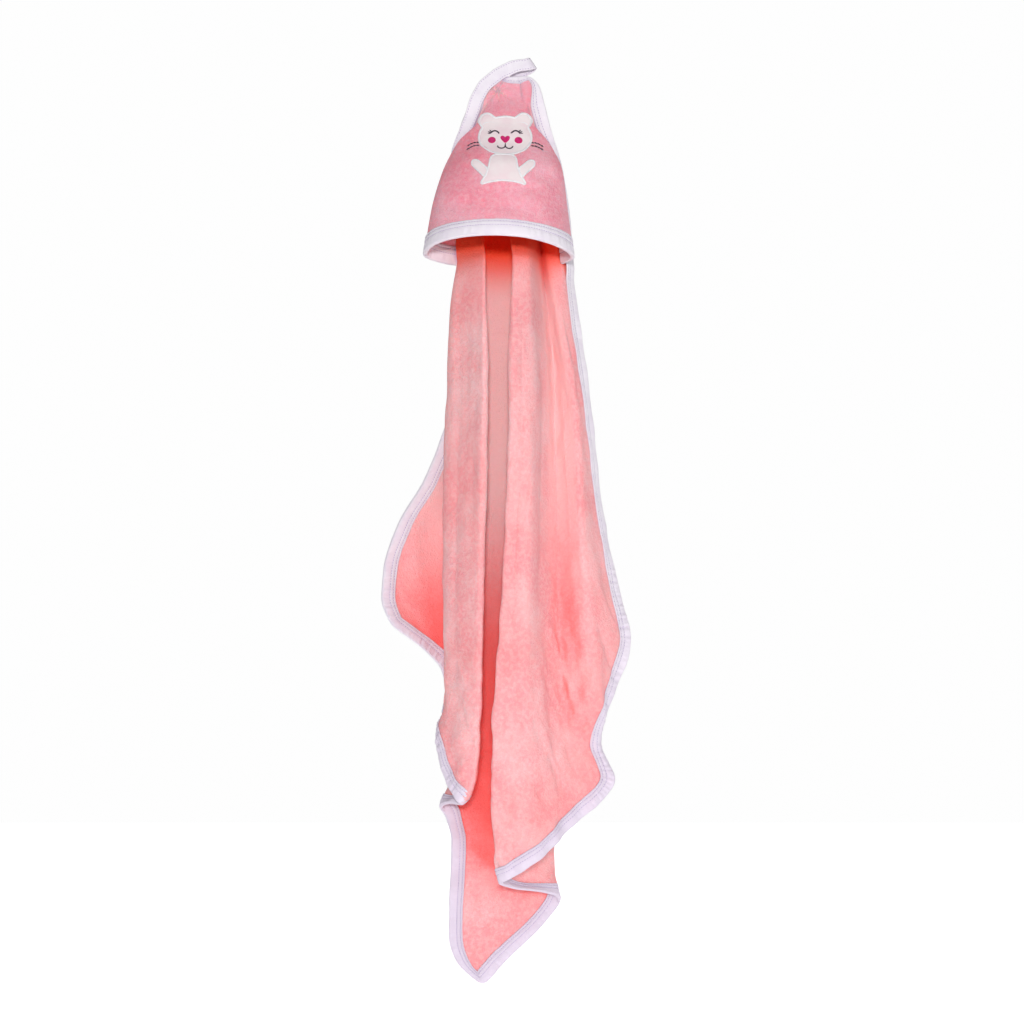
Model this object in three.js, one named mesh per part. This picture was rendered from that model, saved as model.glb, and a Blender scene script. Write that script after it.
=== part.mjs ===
// Hooded baby towel, hanging by its loop. Millimetres, +Z up, front faces -Y.
// The frame origin is the inside of the hanging loop, where it rests on a hook.
import * as THREE from 'three';

// ---- driving dimensions ----
const TOWEL_SIDE = 750;        // side of the square towel cloth
const CORNER_RADIUS = 40;      // rounding of the towel's corners
const HOOD_DROP = 205;         // hood tip down to the hood's rim
const CLOTH = 2.6;             // looped cotton, thickness
const TAPE = 0.8;              // binding tape, thickness
const EDGE_TAPE_WIDTH = 15;    // visible width of the edge binding
const RIM_TAPE_WIDTH = 20;     // visible width of the hood rim binding
const GAP = 0.5;               // clearance kept between neighbouring pieces
const LOOP_WIDTH = 15;         // hanging loop, width of the tape
const LOOP_THICKNESS = 1.6;    // hanging loop, two layers of tape
const LOOP_BORE = 5;           // hanging loop, inner radius where it goes over the hook
const APPLIQUE = 0.9;          // thickness of the applique cloth
const THREAD = 0.7;            // height of the embroidery
const HEAD_WIDTH = 60;         // applique head
const HEAD_HEIGHT = 52;

// ---- derived dimensions ----
const REF_HANG = 1027;                         // hanging length the fold guides are written for
const REF_HOOD = 205;                          // hood drop the fold guides are written for
const HANG = (TOWEL_SIDE * Math.SQRT2) - (2 * CORNER_RADIUS * (Math.SQRT2 - 1));
const HOOD_SCALE = HOOD_DROP / REF_HOOD;
const BODY_SCALE = TOWEL_SIDE / 750;
const TIP_X = -16;                             // hood tip, from the frame origin
const TIP_Z = -14;

// ---- grid of the cloth: rows run down, columns run across ----
const COLUMNS = 32;
const HOOD_ROWS = [0, 19, 40, 58, 74, 88, 102, 118, 138, 162, 205 - RIM_TAPE_WIDTH, 205];
const BODY_ROWS = [224, 270, 325, 385, 445, 505, 560, 605, 645, 680, 712, 742, 770, 795,
  815, 836, 860, 885, 915, 950, 982, 1004, 1022];
const ROWS = HOOD_ROWS.concat(BODY_ROWS);
const RIM_ROW = HOOD_ROWS.length - 1;
const LAST_ROW = ROWS.length - 1;

// Fold guides below the rim: [drop from the hood tip, x, y]. The cloth falls in soft
// pleats; each guide is the line of one pleat, from the left free edge to the right.
const LEFT_EDGE = [[205, -68, 55], [300, -74, 62], [365, -80, 62], [453, -106, 55],
  [505, -136, 50], [557, -152, 45], [590, -154, 42], [620, -144, 40]];
const BEHIND_LEFT = [[205, -44, 44], [357, -50, 84], [500, -56, 90], [618, -62, 86],
  [713, -77, 62], [768, -79, 55]];
const LEFT_PANEL_OUTER = [[205, -63, 12], [255, -76, 4], [364, -80, -2], [477, -84, -12], [590, -85, -16],
  [700, -82, -18], [754, -92, -20],
  [801, -88, -20]];
const LEFT_PANEL_INNER = [[205, -30, -26], [367, -29, -48], [542, -31, -58], [673, -33, -61],
  [761, -36, -61], [799, -44, -58], [832, -90, -10], [860, -112, 16]];
const BEHIND_MIDDLE = [[205, -62, 34], [419, -66, 36], [649, -71, 36], [798, -78, 32],
  [838, -84, 26], [866, -77, 22], [900, -76, 20], [939, -76, 18], [978, -74, 15],
  [1006, -66, 12], [1022, -54, 10]];
const BEHIND_RIGHT = [[205, 30, 54], [417, 40, 68], [652, 50, 70], [827, 57, 62],
  [895, 56, 54], [957, 50, 42], [1034, 44, 30]];
const RIGHT_PANEL_INNER = [[205, -5, -28], [367, -8, -48], [499, -15, -58], [597, -22, -62],
  [673, -28, -64], [749, -32, -64], [826, -31, -60], [896, -22, -52], [950, 90, 40]];
const RIGHT_PANEL_FRONT = [[205, 17, -20], [367, 20, -44], [542, 17, -60], [695, 14, -64],
  [876, 13, -60]];
const RIGHT_VALLEY = [[205, 32, 42], [361, 44, 34], [545, 47, 16], [701, 51, -6],
  [837, 64, -25]];
const RIGHT_PANEL_BACK = [[205, 38, 20], [363, 64, -4], [544, 77, -16], [701, 92, -10],
  [755, 98, 10], [777, 108, 4], [796, 117, 0], [848, 120, -5]];
const RIGHT_EDGE = [[205, 63, 38], [362, 86, 24], [482, 99, 30], [545, 111, 32],
  [591, 121, 32], [637, 131, 30], [663, 131, 30], [706, 124, 30], [760, 116, 28],
  [800, 132, 15]];
const FOLDS = [LEFT_EDGE, BEHIND_LEFT, LEFT_PANEL_OUTER, LEFT_PANEL_INNER, BEHIND_MIDDLE,
  BEHIND_RIGHT, RIGHT_PANEL_INNER, RIGHT_PANEL_FRONT, RIGHT_VALLEY, RIGHT_PANEL_BACK,
  RIGHT_EDGE];
const LAST_FOLD = FOLDS.length - 1;

// Seams of the hood, from the tip to the rim: [drop, x, y]
const LEFT_SEAM = [[0, -21, 0], [8, -36, 0], [30, -50, 2], [53, -60, 4], [78, -66, 9],
  [110, -70, 20], [150, -71, 36], [205, -68, 55]];
const RIGHT_SEAM = [[0, 16, 0], [8, 25, 0], [30, 32, 2], [53, 38, 4], [78, 44, 9],
  [110, 51, 16], [150, 58, 27], [205, 63, 38]];

// Outline of the towel: [row level, fold number, drop]
const LEFT_BORDER = [[205, 0, 205], [614, 0, 620], [626, 0.16, 628], [644, 0.42, 648],
  [655, 0.62, 662], [669, 0.75, 674], [685, 0.88, 690], [705, 1, 711], [727, 1.5, 729],
  [753, 2, 752], [782, 2.2, 780], [800, 2.5, 802], [806, 2.75, 810], [810, 3, 808],
  [815, 3.25, 812], [821, 3.6, 822], [830, 4, 832], [1022, 4, 1022]];
const RIGHT_BORDER = [[205, 10, 205], [640, 10, 640], [665, 9.85, 666], [690, 9.65, 698],
  [720, 9.33, 736], [745, 9, 757], [775, 9, 785], [790, 8.75, 806], [805, 8.4, 822],
  [820, 8.08, 836], [832, 7.7, 850], [855, 7, 876], [872, 6.5, 890], [886, 6, 896],
  [900, 5.81, 908], [915, 5.54, 920], [930, 5.14, 938], [945, 5, 953], [965, 4.88, 980],
  [985, 4.72, 998], [1005, 4.5, 1018], [1022, 4.36, 1026]];

// Hood panel: [drop, centre x, half width, centre y, depth to the front, left and right
// angle (degrees) to which the rounded front is carried]
const HOOD_SHAPE = [[30, -9, 40, 8, 19, 33, 33], [53, -11, 50, 9, 24, 36, 36],
  [78, -11, 55, 9, 37, 44, 38], [110, -14, 66, 0, 54, 73, 70], [150, -17, 76, -4, 64, 88, 82],
  [205, -18, 83, -7, 78, 92, 85]];

// Hanging loop, centre line from the hood tip: [x, y, z, tilt of the tape (degrees)]
const LOOP_FRONT = [[-44, -9.6, -28, 62], [-35, -8.8, -11, 50], [-18, -7.8, 3, 38],
  [0, -6.8, 12, 32]];
const LOOP_BACK = [[4, 7, 8, 40], [0, 8.4, 0, 50], [-4, 9.8, -16, 62]];

const HOOD_LIFT = CLOTH + (1.6 * GAP);   // hood cloth above the towel's, where they are sewn
const HOOD_EASE = 12;          // how far the towel hangs back from the hood half way down it

const COLOURS = {
  cloth: { color: '#ee8b8f', roughness: 0.95, metalness: 0 },
  hood: { color: '#ec9aa4', roughness: 0.95, metalness: 0 },
  tape: { color: '#ece2f0', roughness: 0.8, metalness: 0 },
  applique: { color: '#f7e6ea', roughness: 0.9, metalness: 0 },
  magenta: { color: '#d4147e', roughness: 0.6, metalness: 0 },
  dark: { color: '#45304a', roughness: 0.6, metalness: 0 },
};

// ---- small helpers ----

// Smooth monotone curve through the rows of a table, column c against column 0.
function curve(table, c, x) {
  const last = table.length - 1;
  const gradient = (i) => (table[i + 1][c] - table[i][c]) / (table[i + 1][0] - table[i][0]);
  if (x <= table[0][0]) return table[0][c];
  if (x >= table[last][0]) {
    return table[last][c] + ((x - table[last][0]) * gradient(last - 1));
  }
  let k = 0;
  while (x > table[k + 1][0]) k += 1;
  const slope = (i) => {
    if (i === 0) return gradient(0);
    if (i === last) return gradient(last - 1);
    const a = gradient(i - 1);
    const b = gradient(i);
    if (a * b <= 0) return 0;
    const before = table[i][0] - table[i - 1][0];
    const after = table[i + 1][0] - table[i][0];
    return (3 * (before + after)) / ((((2 * after) + before) / a) + (((2 * before) + after) / b));
  };
  const h = table[k + 1][0] - table[k][0];
  const t = (x - table[k][0]) / h;
  const t2 = t * t;
  const t3 = t2 * t;
  return (((2 * t3) - (3 * t2) + 1) * table[k][c]) + ((t3 - (2 * t2) + t) * slope(k) * h)
    + (((3 * t2) - (2 * t3)) * table[k + 1][c]) + ((t3 - t2) * slope(k + 1) * h);
}

function ramp(a, b, x) {
  const t = Math.min(1, Math.max(0, (x - a) / (b - a)));
  return t * t * (3 - (2 * t));
}

function mix(a, b, t) {
  return a + ((b - a) * t);
}

// Drop in the reference towel to real drop below the hood tip.
function realDrop(drop) {
  if (drop <= REF_HOOD) return drop * HOOD_SCALE;
  return HOOD_DROP + ((drop - REF_HOOD) * (HANG - HOOD_DROP) / (REF_HANG - REF_HOOD));
}

// Sideways scale at a drop: the hood's in the hood, the towel's further down.
function spread(drop) {
  return mix(HOOD_SCALE, BODY_SCALE, ramp(REF_HOOD, 400, drop));
}

// ---- the cloth as a folded surface ----

// Where one fold line is at a drop, as [x, y].
function foldAt(k, drop) {
  if (drop >= REF_HOOD) return [curve(FOLDS[k], 1, drop), curve(FOLDS[k], 2, drop)];
  const left = [curve(LEFT_SEAM, 1, drop), curve(LEFT_SEAM, 2, drop)];
  const right = [curve(RIGHT_SEAM, 1, drop), curve(RIGHT_SEAM, 2, drop)];
  if (k === 0) return left;
  if (k === LAST_FOLD) return right;
  const [, leftX, leftY] = FOLDS[0][0];
  const [, rightX, rightY] = FOLDS[LAST_FOLD][0];
  const [, x, y] = FOLDS[k][0];
  const share = drop / REF_HOOD;
  const atRim = (x - leftX) / (rightX - leftX);
  const even = mix(0.26, 0.74, (k - 1) / (LAST_FOLD - 2));
  const across = mix(even, atRim, ramp(0.2, 1, share));
  const depth = y - mix(leftY, rightY, atRim);
  const ease = HOOD_EASE * 4 * share * (1 - share);
  return [
    mix(left[0], right[0], across),
    mix(left[1], right[1], across) + (depth * (share ** 2.2)) + ease,
  ];
}

function toward(from, to, length) {
  const dx = to[0] - from[0];
  const dy = to[1] - from[1];
  const size = Math.hypot(dx, dy);
  return [from[0] + (dx * length / size), from[1] + (dy * length / size)];
}

// Point on the section at a drop, before rounding. In the hood the two border strips
// lie along the seam; lower down they run on in line with the cloth.
function sectionPoint(points, strips, u) {
  const k = Math.min(Math.floor(u), LAST_FOLD - 1);
  const f = u - k;
  let from = points[k];
  let to = points[k + 1];
  let share = f;
  if (k === 0) {
    from = f < 0.3 ? points[0] : strips[0];
    to = f < 0.3 ? strips[0] : points[1];
    share = f < 0.3 ? f / 0.3 : (f - 0.3) / 0.7;
  }
  if (k === LAST_FOLD - 1) {
    from = f < 0.7 ? points[k] : strips[1];
    to = f < 0.7 ? strips[1] : points[k + 1];
    share = f < 0.7 ? f / 0.7 : (f - 0.7) / 0.3;
  }
  return [mix(from[0], to[0], share), mix(from[1], to[1], share)];
}

const STRIP = EDGE_TAPE_WIDTH + 4;     // straight border strip, a little wider than the tape
const ROUNDING = 0.25;                 // share of a pleat over which its fold is rounded

function clothPoint(u, drop) {
  const points = FOLDS.map((_, k) => foldAt(k, drop));
  const seam = 1 - ramp(205, 300, drop);
  const turn = ramp(45, 105, drop);
  const leftSeam = [points[0][0] + mix(1, 0.35, turn), points[0][1] - mix(0.05, 0.94, turn)];
  const end = points[LAST_FOLD];
  const rightSeam = [end[0] - mix(1, 0.5, turn), end[1] - mix(0.05, 0.85, turn)];
  const blend = (a, b) => [mix(a[0], b[0], seam), mix(a[1], b[1], seam)];
  const strips = [
    blend(toward(points[0], points[1], STRIP), toward(points[0], leftSeam, STRIP)),
    blend(toward(end, points[LAST_FOLD - 1], STRIP), toward(end, rightSeam, STRIP)),
  ];
  const half = Math.min(ROUNDING, u, LAST_FOLD - u);
  const samples = 7;
  let x = 0;
  let y = 0;
  for (let i = 0; i < samples; i += 1) {
    const shift = half * ((((2 * i) + 1) / samples) - 1);
    const p = sectionPoint(points, strips, u + shift);
    x += p[0] / samples;
    y += p[1] / samples;
  }
  const scale = spread(drop);
  return new THREE.Vector3(TIP_X + (x * scale), y * scale, TIP_Z - realDrop(drop));
}

function borderAt(table, level) {
  if (level <= 205) return [table[0][1], level];
  return [curve(table, 1, level), curve(table, 2, level)];
}

// Step inside the outline, square to it, by a width.
function insideBorder(table, level, side, width) {
  const before = borderAt(table, level - 3);
  const after = borderAt(table, level + 3);
  let [u, drop] = borderAt(table, level);
  const steps = 5;
  for (let i = 0; i < steps; i += 1) {
    const a = Math.min(Math.max(u, 0.02), LAST_FOLD - 0.02);
    const across = clothPoint(a + 0.02, drop).distanceTo(clothPoint(a - 0.02, drop)) / 0.04;
    const alongU = across * (after[0] - before[0]);
    const alongDrop = after[1] - before[1];
    const size = Math.hypot(alongU, alongDrop);
    u += side * (alongDrop / size) * (width / steps) / across;
    drop -= side * (alongU / size) * (width / steps);
  }
  return [u, drop];
}

// One row of the grid: the edge, the tape's inner border, the end of the border strip, and
// even steps between the two strips.
function clothRow(level) {
  const left = [borderAt(LEFT_BORDER, level)];
  const right = [borderAt(RIGHT_BORDER, level)];
  for (const width of [EDGE_TAPE_WIDTH, STRIP]) {
    left.push(insideBorder(LEFT_BORDER, level, 1, width));
    right.unshift(insideBorder(RIGHT_BORDER, level, -1, width));
  }
  const between = [];
  for (let i = 3; i <= COLUMNS - 3; i += 1) {
    const share = (i - 2) / (COLUMNS - 4);
    between.push([mix(left[2][0], right[0][0], share), mix(left[2][1], right[0][1], share)]);
  }
  return [...left, ...between, ...right].map(([u, drop]) => clothPoint(u, drop));
}

// The short rows along the hood tip and the towel's lowest corner.
function endRow(level) {
  const left = borderAt(LEFT_BORDER, level);
  const right = borderAt(RIGHT_BORDER, level);
  const row = [];
  for (let i = 0; i <= COLUMNS; i += 1) {
    const share = i === 0 || i === COLUMNS ? i / COLUMNS : mix(0.1, 0.9, (i - 1) / (COLUMNS - 2));
    row.push(clothPoint(mix(left[0], right[0], share), mix(left[1], right[1], share)));
  }
  return row;
}

function clothGrid() {
  return ROWS.map((level, j) => (j === 0 || j === LAST_ROW ? endRow(level) : clothRow(level)));
}

// Unit normals of a grid of points, towards the front.
function gridNormals(grid) {
  const rows = grid.length - 1;
  const columns = grid[0].length - 1;
  return grid.map((row, j) => row.map((_, i) => {
    const normal = new THREE.Vector3();
    for (const [dj, di] of [[-1, -1], [-1, 0], [0, -1], [0, 0]]) {
      const a = j + dj;
      const b = i + di;
      if (a >= 0 && a < rows && b >= 0 && b < columns) {
        const down = grid[a + 1][b].clone().sub(grid[a][b]);
        down.add(grid[a + 1][b + 1]).sub(grid[a][b + 1]);
        const across = grid[a][b + 1].clone().sub(grid[a][b]);
        across.add(grid[a + 1][b + 1]).sub(grid[a + 1][b]);
        normal.add(down.cross(across).normalize());
      }
    }
    return normal.normalize();
  }));
}

function shifted(point, normal, distance) {
  return point.clone().addScaledVector(normal, distance);
}

// ---- building closed bodies ----

class Body {
  constructor() {
    this.positions = [];
    this.indices = [];
  }

  add(point) {
    this.positions.push(point.x, point.y, point.z);
    return (this.positions.length / 3) - 1;
  }

  triangle(a, b, c) {
    this.indices.push(a, b, c);
  }

  quad(a, b, c, d) {
    this.triangle(a, b, c);
    this.triangle(a, c, d);
  }

  mesh(name, look) {
    const geometry = new THREE.BufferGeometry();
    geometry.setAttribute('position', new THREE.Float32BufferAttribute(this.positions, 3));
    geometry.setIndex(this.indices);
    geometry.computeVertexNormals();
    const mesh = new THREE.Mesh(geometry, new THREE.MeshStandardMaterial(look));
    mesh.name = name;
    return mesh;
  }
}

// A grid of points thickened to both sides along its normals. `turned` names the cells
// that are split into triangles along their other diagonal.
function sheetMesh(name, grid, normals, look, turned) {
  const body = new Body();
  const rows = grid.length - 1;
  const columns = grid[0].length - 1;
  const side = (distance) => grid.map((row, j) => row.map((p, i) => (
    body.add(shifted(p, normals[j][i], distance))
  )));
  const front = side(CLOTH / 2);
  const back = side(-CLOTH / 2);
  for (let j = 0; j < rows; j += 1) {
    for (let i = 0; i < columns; i += 1) {
      if (turned(j, i)) {
        body.quad(front[j][i + 1], front[j][i], front[j + 1][i], front[j + 1][i + 1]);
        body.quad(back[j][i + 1], back[j + 1][i + 1], back[j + 1][i], back[j][i]);
      } else {
        body.quad(front[j][i], front[j + 1][i], front[j + 1][i + 1], front[j][i + 1]);
        body.quad(back[j][i], back[j][i + 1], back[j + 1][i + 1], back[j + 1][i]);
      }
    }
  }
  for (let j = 0; j < rows; j += 1) {
    body.quad(front[j][0], back[j][0], back[j + 1][0], front[j + 1][0]);
    body.quad(front[j][columns], front[j + 1][columns], back[j + 1][columns], back[j][columns]);
  }
  for (let i = 0; i < columns; i += 1) {
    body.quad(front[0][i], front[0][i + 1], back[0][i + 1], back[0][i]);
    body.quad(front[rows][i], back[rows][i], back[rows][i + 1], front[rows][i + 1]);
  }
  return body.mesh(name, look);
}

// Section of a tape folded over an edge. `edge` is on the cloth's edge, `inner` on the
// cloth at the tape's inner border; `front` is the cloth's reach in front of that surface.
function tapeSection(edge, edgeNormal, inner, innerNormal, front) {
  const out = edge.clone().sub(inner).normalize();
  const back = (CLOTH / 2) + GAP;
  const corner = (distance, reach) => shifted(edge, edgeNormal, distance).addScaledVector(out, reach);
  return [
    shifted(inner, innerNormal, front + TAPE),
    corner(front + TAPE, GAP + TAPE),
    corner(-back - TAPE, GAP + TAPE),
    shifted(inner, innerNormal, -back - TAPE),
    shifted(inner, innerNormal, -back),
    corner(-back, GAP),
    corner(front, GAP),
    shifted(inner, innerNormal, front),
  ];
}

// A run of sections joined into one body, closed into a ring or capped at both ends.
// `crossed` says, for a span, that its walls are split the other way, as the cloth is there.
function sweepMesh(name, sections, ring, look, crossed = () => false) {
  const body = new Body();
  const loops = sections.map((section) => section.map((p) => body.add(p)));
  const sides = loops[0].length;
  const spans = ring ? loops.length : loops.length - 1;
  for (let k = 0; k < spans; k += 1) {
    const a = loops[k];
    const b = loops[(k + 1) % loops.length];
    for (let i = 0; i < sides; i += 1) {
      const n = (i + 1) % sides;
      const edgeFirst = i % 4 === 2;
      if (edgeFirst === crossed(k)) body.quad(a[i], b[i], b[n], a[n]);
      else body.quad(b[i], b[n], a[n], a[i]);
    }
  }
  if (!ring) {
    const cap = (l, flip) => {
      const strips = sides === 8 ? [[0, 1, 6, 7], [1, 2, 5, 6], [2, 3, 4, 5]] : [[0, 1, 2, 3]];
      strips.forEach(([a, b, c, d]) => {
        if (flip) body.quad(l[a], l[d], l[c], l[b]);
        else body.quad(l[a], l[b], l[c], l[d]);
      });
    };
    cap(loops[0], false);
    cap(loops[loops.length - 1], true);
  }
  return body.mesh(name, look);
}

// ---- the towel's edge binding ----

function edgeBinding(grid, normals) {
  const sections = [];
  const station = (j, i, nj, ni) => {
    const overHood = j <= RIM_ROW;
    const reach = (CLOTH / 2) + GAP + (overHood ? HOOD_LIFT : 0);
    sections.push(tapeSection(grid[j][i], normals[j][i], grid[nj][ni], normals[nj][ni], reach));
  };
  station(0, 0, 1, 1);
  for (let j = 1; j < LAST_ROW; j += 1) station(j, 0, j, 1);
  station(LAST_ROW, 0, LAST_ROW - 1, 1);
  for (let i = 1; i < COLUMNS; i += 1) station(LAST_ROW, i, LAST_ROW - 1, i);
  station(LAST_ROW, COLUMNS, LAST_ROW - 1, COLUMNS - 1);
  for (let j = LAST_ROW - 1; j > 0; j -= 1) station(j, COLUMNS, j, COLUMNS - 1);
  station(0, COLUMNS, 1, COLUMNS - 1);
  for (let i = COLUMNS - 1; i > 0; i -= 1) station(0, i, 1, i);
  // Reversed, the ring runs: top edge, right side, lowest corner, left side.
  const alongEnd = (k) => k < COLUMNS || (k >= COLUMNS + LAST_ROW && k < (2 * COLUMNS) + LAST_ROW);
  sections.push(sections.shift());
  return sweepMesh('edge_binding', sections.reverse(), true, COLOURS.tape, alongEnd);
}

// ---- the hood ----

function hoodShape(drop) {
  return [1, 2, 3, 4, 5, 6].map((c) => curve(HOOD_SHAPE, c, drop));
}

// The hood's rounded front at a drop and an angle from straight ahead.
function hoodPoint(drop, angle) {
  const [cx, half, cy, depth] = hoodShape(drop);
  return new THREE.Vector3(
    TIP_X + ((cx + (half * Math.sin(angle))) * HOOD_SCALE),
    (cy - (depth * Math.cos(angle))) * HOOD_SCALE,
    TIP_Z - realDrop(drop),
  );
}

// Points from a seam strip round to the start of the hood's rounded front.
function hoodSide(seam, start, beyond) {
  const away = start.clone().sub(beyond).normalize();
  const control = start.clone().addScaledVector(away, 0.15 * seam.distanceTo(start));
  return [0.12, 0.42, 0.72].map((t) => seam.clone().multiplyScalar((1 - t) ** 2)
    .addScaledVector(control, 2 * t * (1 - t)).addScaledVector(start, t * t));
}

function hoodGrid(grid, normals) {
  const onTowel = (j, i) => {
    const along = j < 2 ? i : Math.max(i === 2 ? 1 : i, i === COLUMNS - 2 ? COLUMNS - 1 : 0);
    return shifted(grid[j][i], normals[j][along], HOOD_LIFT);
  };
  return HOOD_ROWS.map((drop, j) => {
    if (j < 2) return grid[j].map((_, i) => onTowel(j, i));
    const [, , , , left, right] = hoodShape(drop).map((v) => v * Math.PI / 180);
    const steps = COLUMNS - 12;
    const front = [];
    for (let i = 0; i <= steps; i += 1) {
      front.push(hoodPoint(drop, mix(-left, right, i / steps)));
    }
    const leftEdge = [0, 1, 2].map((i) => onTowel(j, i));
    const rightEdge = [2, 1, 0].map((i) => onTowel(j, COLUMNS - i));
    const leftSide = hoodSide(leftEdge[2], front[0], front[1]);
    const rightSide = hoodSide(rightEdge[0], front[steps], front[steps - 1]).reverse();
    return [...leftEdge, ...leftSide, ...front, ...rightSide, ...rightEdge];
  });
}

// The hood's normals, taken from the towel where the two are sewn together.
function hoodNormals(grid, towelNormals) {
  const sewn = (j, i) => j < 2 || i < 2 || i > COLUMNS - 2;
  return gridNormals(grid).map((row, j) => row.map((normal, i) => (
    sewn(j, i) ? towelNormals[j][i] : normal
  )));
}

function rimBinding(grid, normals) {
  const sections = [];
  for (let i = 3; i <= COLUMNS - 3; i += 1) {
    const front = (CLOTH / 2) + GAP;
    sections.push(tapeSection(grid[RIM_ROW][i], normals[RIM_ROW][i],
      grid[RIM_ROW - 1][i], normals[RIM_ROW - 1][i], front));
  }
  return sweepMesh('rim_binding', sections.reverse(), false, COLOURS.tape, () => true);
}

// ---- the hanging loop ----

function loopStations() {
  const tilt = (degrees) => {
    const angle = degrees * Math.PI / 180;
    return new THREE.Vector3(-Math.sin(angle), 0, Math.cos(angle));
  };
  const place = ([x, y, z, degrees], face) => ({
    centre: new THREE.Vector3(TIP_X + x, y, TIP_Z + z),
    across: tilt(degrees),
    face,
  });
  const forward = new THREE.Vector3(0, -1, 0);
  const stations = LOOP_FRONT.map((row) => place(row, forward));
  const across = tilt(33);
  const ahead = new THREE.Vector3(across.z, 0, -across.x);
  const reach = LOOP_BORE + (LOOP_THICKNESS / 2);
  const steps = 6;
  for (let k = 0; k <= steps; k += 1) {
    const angle = Math.PI * k / steps;
    const face = forward.clone().multiplyScalar(Math.cos(angle));
    face.addScaledVector(ahead, Math.sin(angle));
    stations.push({ centre: face.clone().multiplyScalar(reach), across, face });
  }
  const backward = new THREE.Vector3(0, 1, 0);
  LOOP_BACK.forEach((row) => stations.push(place(row, backward)));
  return stations;
}

function hangingLoop() {
  const sections = loopStations().map(({ centre, across, face }) => {
    const corner = (a, b) => shifted(centre, across, a * LOOP_WIDTH / 2)
      .addScaledVector(face, b * LOOP_THICKNESS / 2);
    return [corner(-1, 1), corner(1, 1), corner(1, -1), corner(-1, -1)];
  });
  return sweepMesh('hanging_loop', sections, false, COLOURS.tape);
}

// ---- applique and embroidery, laid on the hood's front ----

const HEAD_CENTRE = [-11, 73];         // x and drop from the hood tip
const BODY_CENTRE = [-13, 119];

// Point at x and drop (from the hood tip), raised off the hood's front surface.
function onHood(x, drop, raise) {
  const angleAt = (a, d) => {
    const [cx, half] = hoodShape(d);
    return Math.asin(Math.max(-0.99, Math.min(0.99, (a - cx) / half)));
  };
  const surface = (a, d) => hoodPoint(d, angleAt(a, d));
  const p = surface(x, drop);
  const across = surface(x + 0.5, drop).sub(surface(x - 0.5, drop));
  const down = surface(x, drop + 0.5).sub(surface(x, drop - 0.5));
  const normal = down.cross(across).normalize();
  return p.addScaledVector(normal, (CLOTH / 2) + raise);
}

const ON_CLOTH = GAP + 0.6;
const ON_APPLIQUE = ON_CLOTH + APPLIQUE + 0.4;

// Outline of a union of shapes seen from a centre: the furthest point in each direction.
function outline(inside, centre, reach, count) {
  const points = [];
  for (let k = 0; k < count; k += 1) {
    const angle = 2 * Math.PI * k / count;
    let r = reach;
    while (r > 1 && !inside(centre[0] + (r * Math.cos(angle)), centre[1] + (r * Math.sin(angle)))) {
      r -= 0.25;
    }
    points.push([r * Math.cos(angle), r * Math.sin(angle)]);
  }
  return points;
}

function patchMesh(name, centre, points, rings, raise, thickness, look) {
  const body = new Body();
  const layer = (height) => {
    const middle = body.add(onHood(centre[0], centre[1], height));
    const loops = [];
    for (let r = 1; r <= rings; r += 1) {
      loops.push(points.map(([x, d]) => (
        body.add(onHood(centre[0] + (x * r / rings), centre[1] + (d * r / rings), height))
      )));
    }
    return { middle, loops };
  };
  const top = layer(raise + thickness);
  const bottom = layer(raise);
  const count = points.length;
  for (let k = 0; k < count; k += 1) {
    const n = (k + 1) % count;
    body.triangle(top.middle, top.loops[0][n], top.loops[0][k]);
    body.triangle(bottom.middle, bottom.loops[0][k], bottom.loops[0][n]);
    for (let r = 1; r < rings; r += 1) {
      const [a, b] = [top.loops[r - 1], top.loops[r]];
      const [c, d] = [bottom.loops[r - 1], bottom.loops[r]];
      body.quad(a[k], a[n], b[n], b[k]);
      body.quad(c[k], d[k], d[n], c[n]);
    }
    const rim = top.loops[rings - 1];
    const base = bottom.loops[rings - 1];
    body.quad(rim[k], rim[n], base[n], base[k]);
  }
  return body.mesh(name, look);
}

// A line of stitching of even width along a path of [x, drop] points.
function stitchMesh(name, path, width, raise, look) {
  const sections = path.map(([x, d], k) => {
    const from = path[Math.max(k - 1, 0)];
    const to = path[Math.min(k + 1, path.length - 1)];
    const size = Math.hypot(to[0] - from[0], to[1] - from[1]);
    const nx = -(to[1] - from[1]) / size;
    const nd = (to[0] - from[0]) / size;
    const corner = (side, height) => onHood(x + (side * nx * width / 2),
      d + (side * nd * width / 2), height);
    return [corner(-1, raise + THREAD), corner(1, raise + THREAD), corner(1, raise),
      corner(-1, raise)];
  });
  return sweepMesh(name, sections.reverse(), false, look);
}

function inEllipse(x, d, centre, halfWidth, halfHeight) {
  return (((x - centre[0]) / halfWidth) ** 2) + (((d - centre[1]) / halfHeight) ** 2) <= 1;
}

function appliqueHead() {
  const [cx, cd] = HEAD_CENTRE;
  const inside = (x, d) => inEllipse(x, d, HEAD_CENTRE, HEAD_WIDTH / 2, HEAD_HEIGHT / 2)
    || [-1, 1].some((side) => inEllipse(x, d,
      [cx + (side * HEAD_WIDTH * 0.34), cd - (HEAD_HEIGHT * 0.4)],
      HEAD_WIDTH * 0.14, HEAD_WIDTH * 0.14));
  const points = outline(inside, HEAD_CENTRE, HEAD_WIDTH, 40);
  return patchMesh('applique_head', HEAD_CENTRE, points, 3, ON_CLOTH, APPLIQUE,
    COLOURS.applique);
}

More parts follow.
